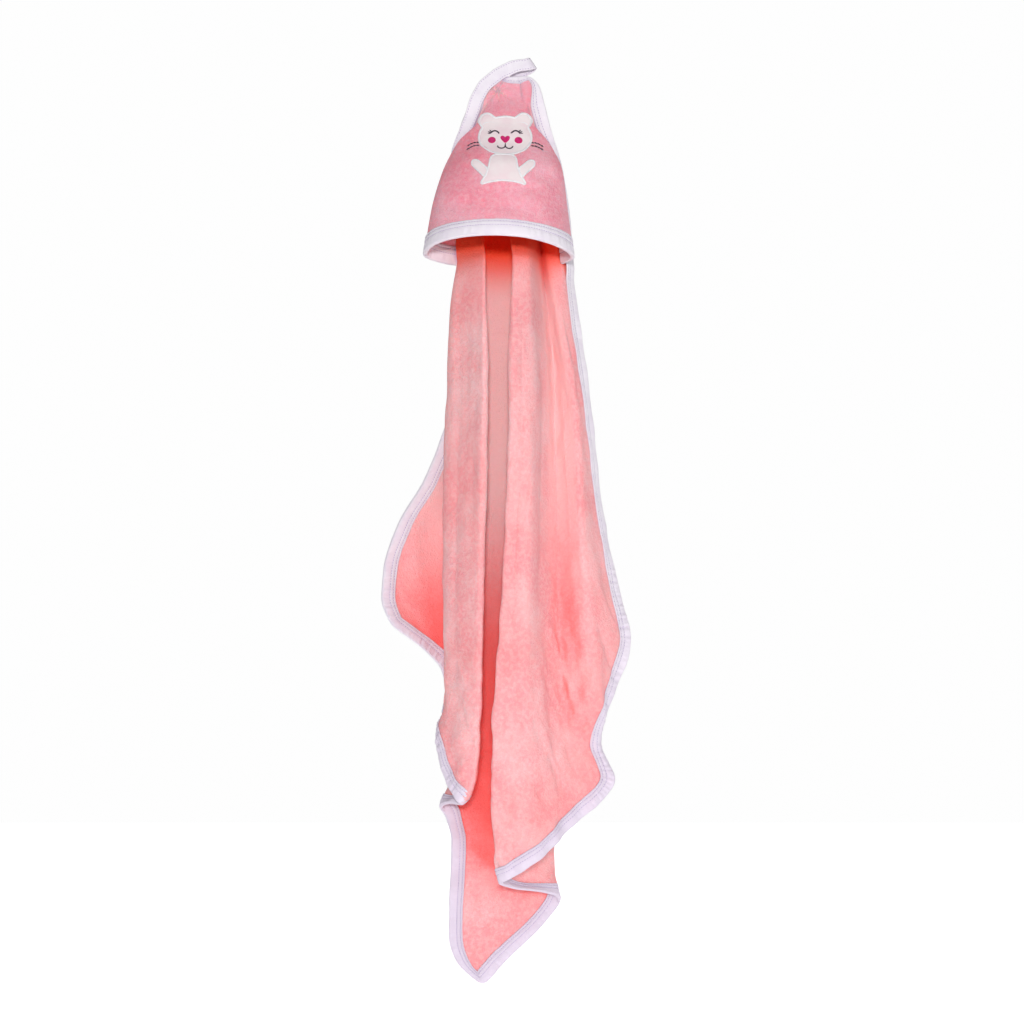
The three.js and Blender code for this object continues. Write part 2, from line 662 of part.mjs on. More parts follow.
function appliqueBody() {
  const [cx, cd] = BODY_CENTRE;
  const clear = (x, d) => !inEllipse(x, d, HEAD_CENTRE, (HEAD_WIDTH / 2) + 1.2,
    (HEAD_HEIGHT / 2) + 1.2);
  const trunk = (x, d) => d > cd - 20 && d < cd + 13
    && Math.abs(x - cx) < mix(14, 25, (d - cd + 20) / 33);
  const arm = (x, d) => [-1, 1].some((side) => {
    const dx = (side * (x - cx)) - 23;
    const dd = d - cd + 5;
    const along = (dx * 0.7) - (dd * 0.7);
    const aside = (dx * 0.7) + (dd * 0.7);
    return ((along / 13) ** 2) + ((aside / 5.5) ** 2) <= 1;
  });
  const inside = (x, d) => clear(x, d) && (trunk(x, d) || arm(x, d));
  const points = outline(inside, BODY_CENTRE, 45, 44);
  return patchMesh('applique_body', BODY_CENTRE, points, 3, ON_CLOTH, APPLIQUE,
    COLOURS.applique);
}

function arcPath(centre, halfWidth, height, steps) {
  const path = [];
  for (let k = 0; k <= steps; k += 1) {
    const t = (2 * k / steps) - 1;
    path.push([centre[0] + (halfWidth * t), centre[1] + (height * ((t * t) - 1))]);
  }
  return path;
}

function face() {
  const [cx, cd] = HEAD_CENTRE;
  const meshes = [];
  const disc = (count, radius) => outline((x, d) => Math.hypot(x, d) <= radius, [0, 0],
    radius + 1, count);
  for (const [side, name] of [[-1, 'left'], [1, 'right']]) {
    const cheek = [cx + (side * 14.5), cd + 5.5];
    meshes.push(patchMesh(`cheek_${name}`, cheek, disc(16, 4.4), 1, ON_APPLIQUE, THREAD,
      COLOURS.magenta));
    const eye = [cx + (side * 11.5), cd - 2.5];
    meshes.push(stitchMesh(`eye_${name}`, arcPath(eye, 5.4, 4, 8), 1.1, ON_APPLIQUE,
      COLOURS.dark));
    [0, 1].forEach((k) => {
      const tip = [cx + (side * 42), cd + 10 + (k * 5)];
      const root = [cx + (side * 25), cd + 6.5 + (k * 4)];
      const middle = [mix(tip[0], root[0], 0.5), mix(tip[1], root[1], 0.5) - 0.6];
      const path = side < 0 ? [tip, middle, root] : [root, middle, tip];
      meshes.push(stitchMesh(`whisker_${name}_${k === 0 ? 'upper' : 'lower'}`, path, 1.1,
        ON_APPLIQUE, COLOURS.dark));
    });
  }
  const heart = (x, d) => Math.abs(x) < 5 && d > -3.6
    && (d < 0 ? Math.hypot(Math.abs(x) - 2.4, d + 1) <= 2.8 : Math.abs(x) < 5 - (d * 0.85));
  const nose = outline(heart, [0, 0], 8, 24);
  meshes.push(patchMesh('nose', [cx, cd + 4], nose, 1, ON_APPLIQUE, THREAD,
    COLOURS.magenta));
  const mouth = [];
  for (let k = 0; k <= 16; k += 1) {
    const t = (k / 8) - 1;
    const bow = Math.sqrt(Math.max(0, 1 - (((2 * Math.abs(t)) - 1) ** 2)));
    mouth.push([cx + (8.5 * t), cd + 13 + (4.2 * bow)]);
  }
  meshes.push(stitchMesh('mouth', mouth, 1.1, ON_APPLIQUE, COLOURS.dark));
  return meshes;
}

// ---- assembly ----

function hoodedTowel() {
  const group = new THREE.Group();
  group.name = 'hooded_baby_towel';
  const towel = clothGrid();
  const towelNormals = gridNormals(towel);
  const hood = hoodGrid(towel, towelNormals);
  const outward = hoodNormals(hood, towelNormals);
  const topRight = (j, i) => j === 0 && i === COLUMNS - 1;
  const corners = (j, i) => topRight(j, i) || (j === LAST_ROW - 1 && i === 0);
  group.add(sheetMesh('towel_cloth', towel, towelNormals, COLOURS.cloth, corners));
  group.add(sheetMesh('hood_cloth', hood, outward, COLOURS.hood, topRight));
  group.add(edgeBinding(towel, towelNormals));
  group.add(rimBinding(hood, outward));
  group.add(hangingLoop());
  group.add(appliqueHead());
  group.add(appliqueBody());
  face().forEach((mesh) => group.add(mesh));
  return group;
}

export default hoodedTowel();
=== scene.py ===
"""Hooded baby towel hanging by its loop. Lengths are in millimetres until a mesh is made, then metres."""
import math

import bpy
import numpy as np
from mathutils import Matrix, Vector


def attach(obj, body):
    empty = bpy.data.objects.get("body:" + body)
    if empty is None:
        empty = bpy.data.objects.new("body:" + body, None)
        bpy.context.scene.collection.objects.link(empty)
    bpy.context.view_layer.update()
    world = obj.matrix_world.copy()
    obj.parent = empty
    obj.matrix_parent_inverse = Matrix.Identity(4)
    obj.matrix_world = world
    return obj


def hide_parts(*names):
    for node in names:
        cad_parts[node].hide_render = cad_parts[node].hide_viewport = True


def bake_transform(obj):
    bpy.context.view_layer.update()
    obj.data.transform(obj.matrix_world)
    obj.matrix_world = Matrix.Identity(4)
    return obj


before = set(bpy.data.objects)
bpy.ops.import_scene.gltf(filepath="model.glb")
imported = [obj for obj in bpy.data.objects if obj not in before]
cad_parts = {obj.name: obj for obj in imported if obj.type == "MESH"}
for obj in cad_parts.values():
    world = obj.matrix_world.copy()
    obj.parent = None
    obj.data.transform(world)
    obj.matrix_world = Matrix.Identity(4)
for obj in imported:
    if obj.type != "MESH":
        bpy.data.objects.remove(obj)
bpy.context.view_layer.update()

MM = 0.001

# ---- driving sizes, the same as the CAD's ----
HOOD_DROP = 205.0
CLOTH = 2.6
EDGE_TAPE = 15.0
RIM_TAPE = 20.0
HOOD_LIFT = CLOTH + 0.8
HOOD_EASE = 12.0
STRIP = EDGE_TAPE + 4.0
TIP = np.array([-16.0, 0.0, -14.0])
LAST_LEVEL = 1022.0

# ---- sizes of the detail ----
ROUNDING = 0.3  # half the width of a fold's bend, in folds
SAMPLES = 13  # samples that round a fold's bend
MEAN_FOLD = 78.0  # mean width of a fold, for patterns that run across the cloth
TAPE_GAP = CLOTH / 2 + 0.3  # cloth's middle to a tape's inner face
SEWN_AT = (0.54, 0.82)  # rows of stitches, as shares of a tape's width
STITCH_PITCH, STITCH_LENGTH = 3.1, 2.3
HOOD_COLUMNS = 200
RIM_ARCH = 13.0  # how far the hood's rim rises in the middle
LOOP_WIDTH, LOOP_THICKNESS, LOOP_BORE = 15.0, 1.6, 5.0

# Fold lines below the rim: [drop below the hood's tip, x from the tip, y].
FOLDS = [
    [[205, -61, 55], [238, -56, 60], [300, -62, 64], [365, -74, 64], [453, -106, 55], [505, -136, 50],
     [557, -152, 45], [590, -154, 42], [620, -144, 40]],
    [[205, -44, 44], [357, -50, 84], [500, -56, 90], [618, -62, 86], [713, -77, 62], [768, -79, 55]],
    [[205, -68, 12], [255, -76, 4], [364, -80, -2], [477, -84, -12], [590, -85, -16], [700, -82, -18],
     [754, -92, -20], [801, -88, -20]],
    [[205, -30, -26], [367, -29, -48], [542, -31, -58], [673, -33, -61], [761, -36, -61], [799, -44, -58],
     [832, -90, -10], [860, -112, 16]],
    [[205, -62, 34], [419, -66, 36], [649, -71, 36], [798, -78, 32], [838, -84, 26], [866, -77, 22],
     [900, -76, 20], [939, -76, 18], [978, -74, 15], [1006, -66, 12], [1022, -54, 10]],
    [[205, 30, 54], [417, 40, 68], [652, 50, 70], [827, 57, 62], [895, 56, 54], [957, 50, 42],
     [1034, 44, 30]],
    [[205, -5, -28], [367, -8, -48], [499, -15, -58], [597, -22, -62], [673, -28, -64], [749, -32, -64],
     [826, -31, -60], [896, -22, -52], [950, 90, 40]],
    [[205, 17, -20], [367, 20, -44], [542, 17, -60], [695, 14, -64], [876, 13, -60]],
    [[205, 32, 42], [361, 44, 34], [545, 47, 16], [701, 51, -6], [837, 64, -25]],
    [[205, 38, 20], [363, 64, -4], [544, 77, -16], [701, 92, -10], [755, 98, 10], [777, 108, 4],
     [796, 117, 0], [848, 120, -5]],
    [[205, 63, 38], [362, 86, 24], [482, 99, 30], [545, 111, 32], [591, 121, 32], [637, 131, 30],
     [663, 131, 30], [706, 124, 30], [760, 116, 28], [800, 132, 15]],
]
LAST_FOLD = len(FOLDS) - 1
LEFT_SEAM = [[0, -21, 0], [8, -36, 0], [30, -50, 2], [53, -60, 4], [78, -66, 9], [110, -70, 20],
             [150, -69, 36], [205, -61, 55]]
RIGHT_SEAM = [[0, 16, 0], [8, 25, 0], [30, 32, 2], [53, 38, 4], [78, 44, 9], [110, 51, 16],
              [150, 58, 27], [205, 63, 38]]
# Outline of the towel: [row level, fold coordinate, drop]
LEFT_BORDER = [[205, 0, 205], [614, 0, 620], [626, 0.16, 628], [644, 0.42, 648], [655, 0.62, 662],
               [669, 0.75, 674], [685, 0.88, 690], [705, 1, 711], [727, 1.5, 729], [753, 2, 752],
               [782, 2.2, 780], [800, 2.5, 802], [806, 2.75, 810], [810, 3, 808], [815, 3.25, 812],
               [821, 3.6, 822], [830, 4, 832], [930, 4, 932], [975, 4, 977],
               [992, 4.015, 997], [1004, 4.04, 1011], [1014, 4.08, 1021], [1022, 4.12, 1026]]
RIGHT_BORDER = [[205, 10, 205], [640, 10, 640], [665, 9.85, 666], [690, 9.65, 698], [720, 9.33, 736],
                [745, 9, 757], [775, 9, 785], [790, 8.75, 806], [805, 8.4, 822], [820, 8.08, 836],
                [832, 7.7, 850], [855, 7, 876], [872, 6.5, 890], [886, 6, 896], [900, 5.81, 908],
                [915, 5.54, 920], [930, 5.12, 938], [945, 4.95, 955], [965, 4.78, 976], [985, 4.58, 996],
                [1003, 4.37, 1014], [1014, 4.25, 1022], [1022, 4.17, 1026.5]]
# Hood's front: [drop, centre x, half width, centre y, depth, left angle, right angle]
HOOD_SHAPE = [[30, -9, 40, 8, 19, 33, 33], [53, -11, 50, 9, 24, 36, 36], [78, -12, 58, 9, 37, 72, 64],
              [110, -14, 68, 0, 54, 88, 83], [150, -17, 76, -4, 64, 88, 82],
              [205, -18, 83, -7, 78, 92, 85]]
# Loop, from the sewn-in end over the hook and down behind: [x, y, z from the tip, tilt]
LOOP_FRONT = [[-44, -9.6, -28, 62], [-35, -8.8, -11, 50], [-18, -7.8, 3, 38], [0, -6.8, 12, 32]]
LOOP_BACK = [[4, 7, 8, 40], [0, 8.4, 0, 50], [-4, 9.8, -16, 62]]


# ---- small helpers ----
def curve(table, c, x):
    """Smooth monotone curve through the rows of a table, column c against column 0."""
    t = np.array(table, float)
    xs, ys = t[:, 0], t[:, c]
    h = np.diff(xs)
    g = np.diff(ys) / h
    m = np.zeros(len(xs))
    m[0], m[-1] = g[0], g[-1]
    for i in range(1, len(xs) - 1):
        if g[i - 1] * g[i] > 0:
            m[i] = 3 * (h[i - 1] + h[i]) / ((2 * h[i] + h[i - 1]) / g[i - 1] + (2 * h[i - 1] + h[i]) / g[i])
    x = np.asarray(x, float)
    k = np.clip(np.searchsorted(xs, x) - 1, 0, len(h) - 1)
    s = (x - xs[k]) / h[k]
    s2, s3 = s * s, s * s * s
    y = ((2 * s3 - 3 * s2 + 1) * ys[k] + (s3 - 2 * s2 + s) * m[k] * h[k]
         + (3 * s2 - 2 * s3) * ys[k + 1] + (s3 - s2) * m[k + 1] * h[k])
    y = np.where(x <= xs[0], ys[0], y)
    return np.where(x >= xs[-1], ys[-1] + (x - xs[-1]) * g[-1], y)


def ramp(a, b, x):
    t = np.clip((np.asarray(x, float) - a) / (b - a), 0, 1)
    return t * t * (3 - 2 * t)


def mix(a, b, t):
    return a + (b - a) * t


def unit(v):
    return v / np.maximum(np.linalg.norm(v, axis=-1, keepdims=True), 1e-9)


def lengths(line):
    """Length along a line of points, 0 at its first point."""
    return np.concatenate([[0], np.cumsum(np.linalg.norm(np.diff(line, axis=0), axis=-1))])


def sample(at, run, line):
    """A line's values at given places along it."""
    return np.stack([np.interp(at, run, line[:, c]) for c in range(line.shape[1])], -1)


def resample(line, count):
    run = lengths(line)
    return sample(np.linspace(0, run[-1], count), run, line)


def waves(seed, count, shortest, longest, lean):
    """A seeded sum of slow waves over two flat coordinates, about one high."""
    rng = np.random.default_rng(seed)
    length = rng.uniform(shortest, longest, count)
    angle = rng.uniform(-1.0, 1.0, count) * lean
    phase = rng.uniform(0, 2 * np.pi, count)
    kx, kz = 2 * np.pi * np.cos(angle) / length, 2 * np.pi * np.sin(angle) / length

    def value(a, b):
        total = np.zeros(np.broadcast(a, b).shape)
        for i in range(count):
            total = total + np.sin(kx[i] * a + kz[i] * b + phase[i])
        return total / math.sqrt(count / 2)

    return value


# ---- the cloth as a folded surface ----
def fold_points(drop):
    """Where every fold line is at each drop: array [fold, point, (x, y)]."""
    low = np.stack([np.stack([curve(f, 1, drop), curve(f, 2, drop)], -1) for f in FOLDS])
    share = np.clip(drop / HOOD_DROP, 0, 1)
    left = np.stack([curve(LEFT_SEAM, 1, drop), curve(LEFT_SEAM, 2, drop)], -1)
    right = np.stack([curve(RIGHT_SEAM, 1, drop), curve(RIGHT_SEAM, 2, drop)], -1)
    (left_x, left_y), (right_x, right_y) = FOLDS[0][0][1:], FOLDS[-1][0][1:]
    ease = HOOD_EASE * 4 * share * (1 - share)
    high = [left]
    for k in range(1, LAST_FOLD):
        x, y = FOLDS[k][0][1:]
        at_rim = (x - left_x) / (right_x - left_x)
        even = mix(0.26, 0.74, (k - 1) / (LAST_FOLD - 2))
        across = mix(even, at_rim, ramp(0.2, 1, share))
        depth = y - mix(left_y, right_y, at_rim)
        high.append(np.stack([mix(left[:, 0], right[:, 0], across),
                              mix(left[:, 1], right[:, 1], across) + depth * share ** 2.2 + ease], -1))
    high.append(right)
    return np.where((drop >= HOOD_DROP)[None, :, None], low, np.stack(high))


def cloth(u, drop):
    """Point of the hanging towel at a fold coordinate and a drop, before creasing."""
    shape = np.broadcast(u, drop).shape
    u = np.broadcast_to(u, shape).ravel().astype(float)
    drop = np.broadcast_to(drop, shape).ravel().astype(float)
    points = fold_points(drop)
    seam = (1 - ramp(HOOD_DROP, 300, drop))[:, None]
    turn = ramp(45, 105, drop)
    reach_in = np.minimum(STRIP, 0.25 * np.linalg.norm(points[-1] - points[0], axis=-1))[:, None]
    reach_in = np.where(drop[:, None] > HOOD_DROP, STRIP, reach_in)

    def strip(end, beside, reach, side):
        seam_way = np.stack([side * mix(1, reach[0], turn), -mix(0.05, reach[1], turn)], -1)
        return end + reach_in * mix(unit(beside - end), unit(seam_way), seam)

    strips = [strip(points[0], points[1], (0.35, 0.94), 1), strip(points[-1], points[-2], (0.5, 0.85), -1)]
    knots = np.concatenate([points[:1], strips[0][None], points[1:-1], strips[1][None], points[-1:]])
    at = np.array([0, 0.3, *range(1, LAST_FOLD), LAST_FOLD - 0.3, LAST_FOLD], float)
    half = np.minimum(ROUNDING, np.minimum(u, LAST_FOLD - u))
    total = np.zeros((len(u), 2))
    weights = np.hanning(SAMPLES + 2)[1:-1] + 0.35
    weights /= weights.sum()
    row = np.arange(len(u))
    for i in range(SAMPLES):
        s = np.clip(u + half * ((2 * i + 1) / SAMPLES - 1), 0, LAST_FOLD)
        k = np.clip(np.searchsorted(at, s, side="right") - 1, 0, len(at) - 2)
        f = ((s - at[k]) / (at[k + 1] - at[k]))[:, None]
        total += weights[i] * mix(knots[k, row], knots[k + 1, row], f)
    out = np.stack([TIP[0] + total[:, 0], total[:, 1], TIP[2] - drop], -1)
    return out.reshape(shape + (3,))


broad = waves(11, 9, 90, 260, 0.55)
middle = waves(12, 12, 26, 70, 0.9)
fine = waves(13, 12, 9, 22, 1.6)
# Creases: from (fold coordinate, drop) to (fold coordinate, drop), half width, height; both are scaled.
CREASE_WIDTH, CREASE_HEIGHT = 1.6, 1.15
CREASES = [
    (2.28, 215, 2.36, 690, 3.0, -1.5), (2.62, 240, 2.55, 560, 3.5, 1.0), (6.55, 250, 6.5, 700, 3.5, -1.1),
    (7.45, 300, 7.3, 640, 5.0, -1.4), (8.5, 330, 8.65, 600, 5.0, 1.2),
    (7.2, 640, 8.1, 735, 3.2, -1.7), (7.6, 610, 8.4, 700, 3.4, 1.4), (7.1, 700, 7.9, 790, 3.0, 1.5),
    (6.6, 735, 7.5, 822, 3.2, -1.5), (8.2, 700, 8.8, 770, 3.2, -1.4), (8.3, 760, 8.8, 742, 2.6, 1.3),
    (6.9, 800, 7.4, 850, 3.0, 1.3), (2.3, 640, 2.8, 700, 3.0, 1.2), (2.5, 700, 2.9, 760, 3.0, -1.4),
    (4.2, 880, 4.7, 940, 3.0, 1.2), (4.15, 925, 4.5, 985, 3.0, -1.1), (0.3, 500, 0.6, 600, 4.0, 1.6),
    (0.15, 560, 0.5, 640, 3.5, -1.5), (9.3, 560, 9.8, 640, 3.5, 1.4), (9.2, 620, 9.7, 690, 3.2, -1.4),
]


def creasing(u, drop):
    """How far the creased cloth stands off the smooth surface, towards the front."""
    s = u * MEAN_FOLD
    free = ramp(212, 330, drop)
    hem = ramp(560, 800, drop)
    lift = 1.6 * broad(s, drop * 0.6) * free + (0.42 + 0.6 * hem) * middle(s, drop) * free
    lift = lift + (0.06 + 0.1 * hem) * fine(s, drop) * free
    for u0, d0, u1, d1, width, height in CREASES:
        ax, ay = u0 * MEAN_FOLD, d0
        bx, by = (u1 - u0) * MEAN_FOLD, d1 - d0
        size = math.hypot(bx, by)
        along = np.clip(((s - ax) * bx + (drop - ay) * by) / size ** 2, 0, 1)
        away = np.hypot(s - ax - along * bx, drop - ay - along * by)
        away = away + 1.2 * np.sin(along * 9 + ax)
        fade = np.sin(np.pi * np.clip(along, 0.02, 0.98)) ** 0.5
        lift = lift + CREASE_HEIGHT * height * np.exp(-(away / (CREASE_WIDTH * width)) ** 2) * fade
    return lift


def surface(u, drop):
    """Point and front normal of the creased towel."""
    e = 0.01
    low, high = np.clip(u - e, 0, LAST_FOLD), np.clip(u + e, 0, LAST_FOLD)
    across = cloth(high, drop) - cloth(low, drop)
    down = cloth(u, drop + 0.8) - cloth(u, drop - 0.8)
    normal = unit(np.cross(down, across))
    return cloth(u, drop) + normal * creasing(u, drop)[..., None], normal


def blur(values, count, axis=0, wrap=False):
    """Binomial smoothing along one axis, repeated."""
    v = np.moveaxis(values, axis, 0)
    for _ in range(count):
        if wrap:
            v = 0.25 * np.roll(v, 1, 0) + 0.5 * v + 0.25 * np.roll(v, -1, 0)
        else:
            v = np.concatenate([v[:1], 0.25 * v[:-2] + 0.5 * v[1:-1] + 0.25 * v[2:], v[-1:]])
    return np.moveaxis(v, 0, axis)


EVERY_LEVEL = np.arange(0, LAST_LEVEL + 1)


def eased(table):
    """The outline with its corners eased: fold coordinate and drop at every level."""
    above = EVERY_LEVEL <= HOOD_DROP
    u = np.where(above, table[0][1], curve(table, 1, EVERY_LEVEL))
    drop = np.where(above, EVERY_LEVEL, curve(table, 2, EVERY_LEVEL))
    return blur(u, 90), blur(drop, 90)


LEFT_OUTLINE, RIGHT_OUTLINE = eased(LEFT_BORDER), eased(RIGHT_BORDER)


def border(side, level):
    """Fold coordinate and drop of one side's outline at row levels."""
    u, drop = side
    return np.interp(level, EVERY_LEVEL, u), np.interp(level, EVERY_LEVEL, drop)


def stretch(u, drop):
    """Millimetres of cloth to one fold."""
    return np.linalg.norm(cloth(u + 0.02, drop) - cloth(u - 0.02, drop), axis=-1) / 0.04


def march(u, drop, way_u, way_d, widths):
    """(u, drop) at each width from a start, stepping over the cloth in a metric direction."""
    found = [(u, drop)]
    for step in np.diff(widths):
        a = np.clip(u, 0.02, LAST_FOLD - 0.02)
        down = np.linalg.norm(cloth(a, drop + 1.0) - cloth(a, drop - 1.0), axis=-1) / 2.0
        u = u + way_u * step / stretch(a, drop)
        drop = drop + way_d * step / down
        found.append((u, drop))
    return found


def grid_normals(grid):
    down = np.gradient(grid, axis=0)
    across = np.gradient(grid, axis=1)
    return unit(np.cross(down, across))


# ---- making meshes ----
def shell(front, back):
    """Points and faces of a closed body between two matching grids of points."""
    rows, columns = front.shape[:2]
    n = rows * columns
    idx = np.arange(n).reshape(rows, columns)
    a, b, c, d = idx[:-1, :-1], idx[1:, :-1], idx[1:, 1:], idx[:-1, 1:]
    faces = [np.stack([a, b, c, d], -1).reshape(-1, 4), np.stack([a, d, c, b], -1).reshape(-1, 4) + n]
    left, right, top, low = idx[:, 0], idx[:, -1], idx[0], idx[-1]
    for rim in (left[::-1], right, top, low[::-1]):
        faces.append(np.stack([rim[:-1], rim[1:], rim[1:] + n, rim[:-1] + n], -1))
    return np.concatenate([front.reshape(-1, 3), back.reshape(-1, 3)]), np.concatenate(faces).tolist()


def tube(loops, ring=False):
    """Points and faces of a body swept through loops of points, array [station, point, xyz]."""
    stations, sides = loops.shape[:2]
    idx = np.arange(stations * sides).reshape(stations, sides)
    if ring:
        idx = np.vstack([idx, idx[:1]])
    nxt = np.roll(idx, -1, axis=1)
    faces = np.stack([idx[:-1], idx[1:], nxt[1:], nxt[:-1]], -1).reshape(-1, 4).tolist()
    if not ring:
        faces += [idx[0].tolist(), idx[-1][::-1].tolist()]
    return loops.reshape(-1, 3), faces


def join(parts):
    """One mesh from several (points, faces)."""
    points, faces, base = [], [], 0
    for p, f in parts:
        points.append(p)
        faces += [[i + base for i in face] for face in f]
        base += len(p)
    return np.concatenate(points), faces


def piece(name, body, material, flat=None):
    """An object in the scene from (points, faces). flat holds each point's place on the flat cloth."""
    points, faces = body
    mesh = bpy.data.meshes.new(name)
    mesh.from_pydata((points * MM).tolist(), [], faces)
    mesh.validate()
    mesh.polygons.foreach_set("use_smooth", [True] * len(mesh.polygons))
    if flat is not None:
        layer = mesh.uv_layers.new(name="flat")
        loops = np.zeros(len(mesh.loops), np.int32)
        mesh.loops.foreach_get("vertex_index", loops)
        layer.data.foreach_set("uv", (np.asarray(flat, float)[loops] * MM).ravel())
    mesh.materials.append(material)
    obj = bpy.data.objects.new(name, mesh)
    bpy.context.scene.collection.objects.link(obj)
    return obj


# ---- materials ----
def srgb(*levels):
    """A linear colour from 0 to 255 screen levels."""
    return tuple(((c / 255 + 0.055) / 1.055) ** 2.4 if c > 10.3 else c / 255 / 12.92 for c in levels) + (1.0,)


class Look:
    """A node material, built step by step."""

    def __init__(self, name, roughness, sheen=0.0, sheen_tint=(1, 1, 1, 1), specular=0.25):
        self.material = bpy.data.materials.new(name)
        self.material.use_nodes = True
        self.nodes = self.material.node_tree.nodes
        self.links = self.material.node_tree.links
        self.shader = self.nodes["Principled BSDF"]
        self.shader.inputs["Roughness"].default_value = roughness
        self.shader.inputs["Specular IOR Level"].default_value = specular
        self.shader.inputs["Sheen Weight"].default_value = sheen
        self.shader.inputs["Sheen Roughness"].default_value = 0.45
        self.shader.inputs["Sheen Tint"].default_value = sheen_tint
        self.coords = self.nodes.new("ShaderNodeTexCoord")

    def node(self, kind, **values):
        n = self.nodes.new(kind)
        for key, value in values.items():
            if key in n.inputs:
                n.inputs[key].default_value = value
            else:
                setattr(n, key, value)
        return n

    def placed(self, source, stretched=(1, 1, 1), turn=0.0):
        place = self.node("ShaderNodeMapping")
        place.inputs["Scale"].default_value = stretched
        place.inputs["Rotation"].default_value = (0, 0, turn)
        self.links.new(self.coords.outputs[source], place.inputs["Vector"])
        return place.outputs["Vector"]

    def noise(self, scale, detail):
        n = self.node("ShaderNodeTexNoise", Scale=scale, Detail=detail)
        self.links.new(self.coords.outputs["Object"], n.inputs["Vector"])
        return n.outputs["Fac"]

    def cells(self, scale, randomness, stretched, turn):
        n = self.node("ShaderNodeTexVoronoi", Scale=scale, Randomness=randomness)
        self.links.new(self.placed("UV", stretched, turn), n.inputs["Vector"])
        return n.outputs["Distance"]

    def bands(self, scale, source, direction, distortion, turn=0.0):
        n = self.node("ShaderNodeTexWave", bands_direction=direction, Scale=scale, Distortion=distortion)
        n.inputs["Detail Scale"].default_value = 1.5
        self.links.new(self.placed(source, turn=turn), n.inputs["Vector"])
        return n.outputs["Fac"]

    def up(self):
        """Height of the surface, in metres."""
        place = self.node("ShaderNodeSeparateXYZ")
        self.links.new(self.coords.outputs["Object"], place.inputs["Vector"])
        return place.outputs["Z"]

    def math(self, operation, a, b):
        n = self.node("ShaderNodeMath", operation=operation)
        for socket, value in zip(n.inputs, (a, b)):
            if isinstance(value, (int, float)):
                socket.default_value = value
            else:
                self.links.new(value, socket)
        return n.outputs[0]

    def span(self, value, low, high, to_low=0.0, to_high=1.0):
        n = self.node("ShaderNodeMapRange")
        n.interpolation_type = "SMOOTHSTEP"
        self.links.new(value, n.inputs["Value"])
        for key, number in (("From Min", low), ("From Max", high), ("To Min", to_low), ("To Max", to_high)):
            n.inputs[key].default_value = number
        return n.outputs["Result"]

    def blend(self, factor, a, b):
        n = self.node("ShaderNodeMix", data_type="RGBA")
        for socket, value in ((n.inputs[0], factor), (n.inputs[6], a), (n.inputs[7], b)):
            if isinstance(value, (int, float, tuple)):
                socket.default_value = value
            else:
                self.links.new(value, socket)
        return n.outputs[2]

    def shelter(self, reach):
        """How open the surface is, from ambient occlusion: 0 deep in a fold, 1 in the open; used to paint
        shade into colours.
        """
        n = self.node("ShaderNodeAmbientOcclusion", samples=6)
        n.inputs["Distance"].default_value = reach
        return n.outputs["AO"]

    def finish(self, colour, height=None, depth=0.0005, strength=1.0):
        self.links.new(colour, self.shader.inputs["Base Color"])
        if height is not None:
            bump = self.node("ShaderNodeBump", Distance=depth, Strength=strength)
            self.links.new(height, bump.inputs["Height"])
            self.links.new(bump.outputs["Normal"], self.shader.inputs["Normal"])
        return self.material


def terry(name, light, main, deep, reach, paint_rim_shade):
    """Looped cotton: short rows of loops and a mottled colour.

    Painted shade from ambient occlusion: folds that face folds are painted paler in the upper part and deeper
    red in the lower; the last flag adds painted red shade below the rim.
    """
    look = Look(name, 0.95, 0.06, (1.0, 0.7, 0.72, 1), 0.08)
    look.shader.inputs["Subsurface Weight"].default_value = 0.45
    look.shader.inputs["Subsurface Radius"].default_value = (1.0, 0.16, 0.13)
    look.shader.inputs["Subsurface Scale"].default_value = 0.007
    loops = look.cells(620, 0.85, (1, 0.72, 1), math.radians(45))
    pile = look.noise(900, 3)
    clumps = look.noise(240, 2)
    blotch = look.noise(17, 2)
    wide = look.noise(6.5, 1)
    height = look.math("ADD", look.math("MULTIPLY", loops, -0.8), look.math("MULTIPLY", pile, 0.5))
    height = look.math("ADD", height, look.math("MULTIPLY", clumps, 0.9))
    colour = look.blend(look.span(blotch, 0.35, 0.68), main, light)
    # random mottle that is also painted light: raised clumps painted whiter as a highlight, low pile painted
    # deeper as shade
    tufts = look.blend(0.35, light, (1, 1, 1, 1))
    colour = look.blend(look.span(clumps, 0.38, 0.66, 0.0, 0.30), colour, tufts)
    colour = look.blend(look.span(pile, 0.40, 0.62, 0.14, 0.0), colour, deep)
    colour = look.blend(look.span(wide, 0.42, 0.62, 0.0, 0.16), colour, deep)
    up = look.up()
    # painted shade: occluded folds are painted paler high up and deeper red low down
    fold_shade_mask = look.span(look.shelter(reach), 0.3, 0.78, 1.0, 0.0)
    upper = look.math("MULTIPLY", fold_shade_mask, look.span(up, -0.66, -0.44))
    colour = look.blend(upper, colour, srgb(255, 206, 206))
    lower = look.math("MULTIPLY", fold_shade_mask, look.span(up, -0.70, -0.50, 1.0, 0.0))
    colour = look.blend(lower, colour, deep)
    if paint_rim_shade:
        # painted red shade: the towel just under the hood's rim, where it is occluded
        under = look.span(look.shelter(0.13), 0.45, 0.85, 1.0, 0.0)
        under = look.math("MULTIPLY", under, look.span(up, -0.262, -0.200))
        colour = look.blend(under, colour, srgb(255, 80, 46))
    return look.finish(colour, height, 0.0009, 0.75)


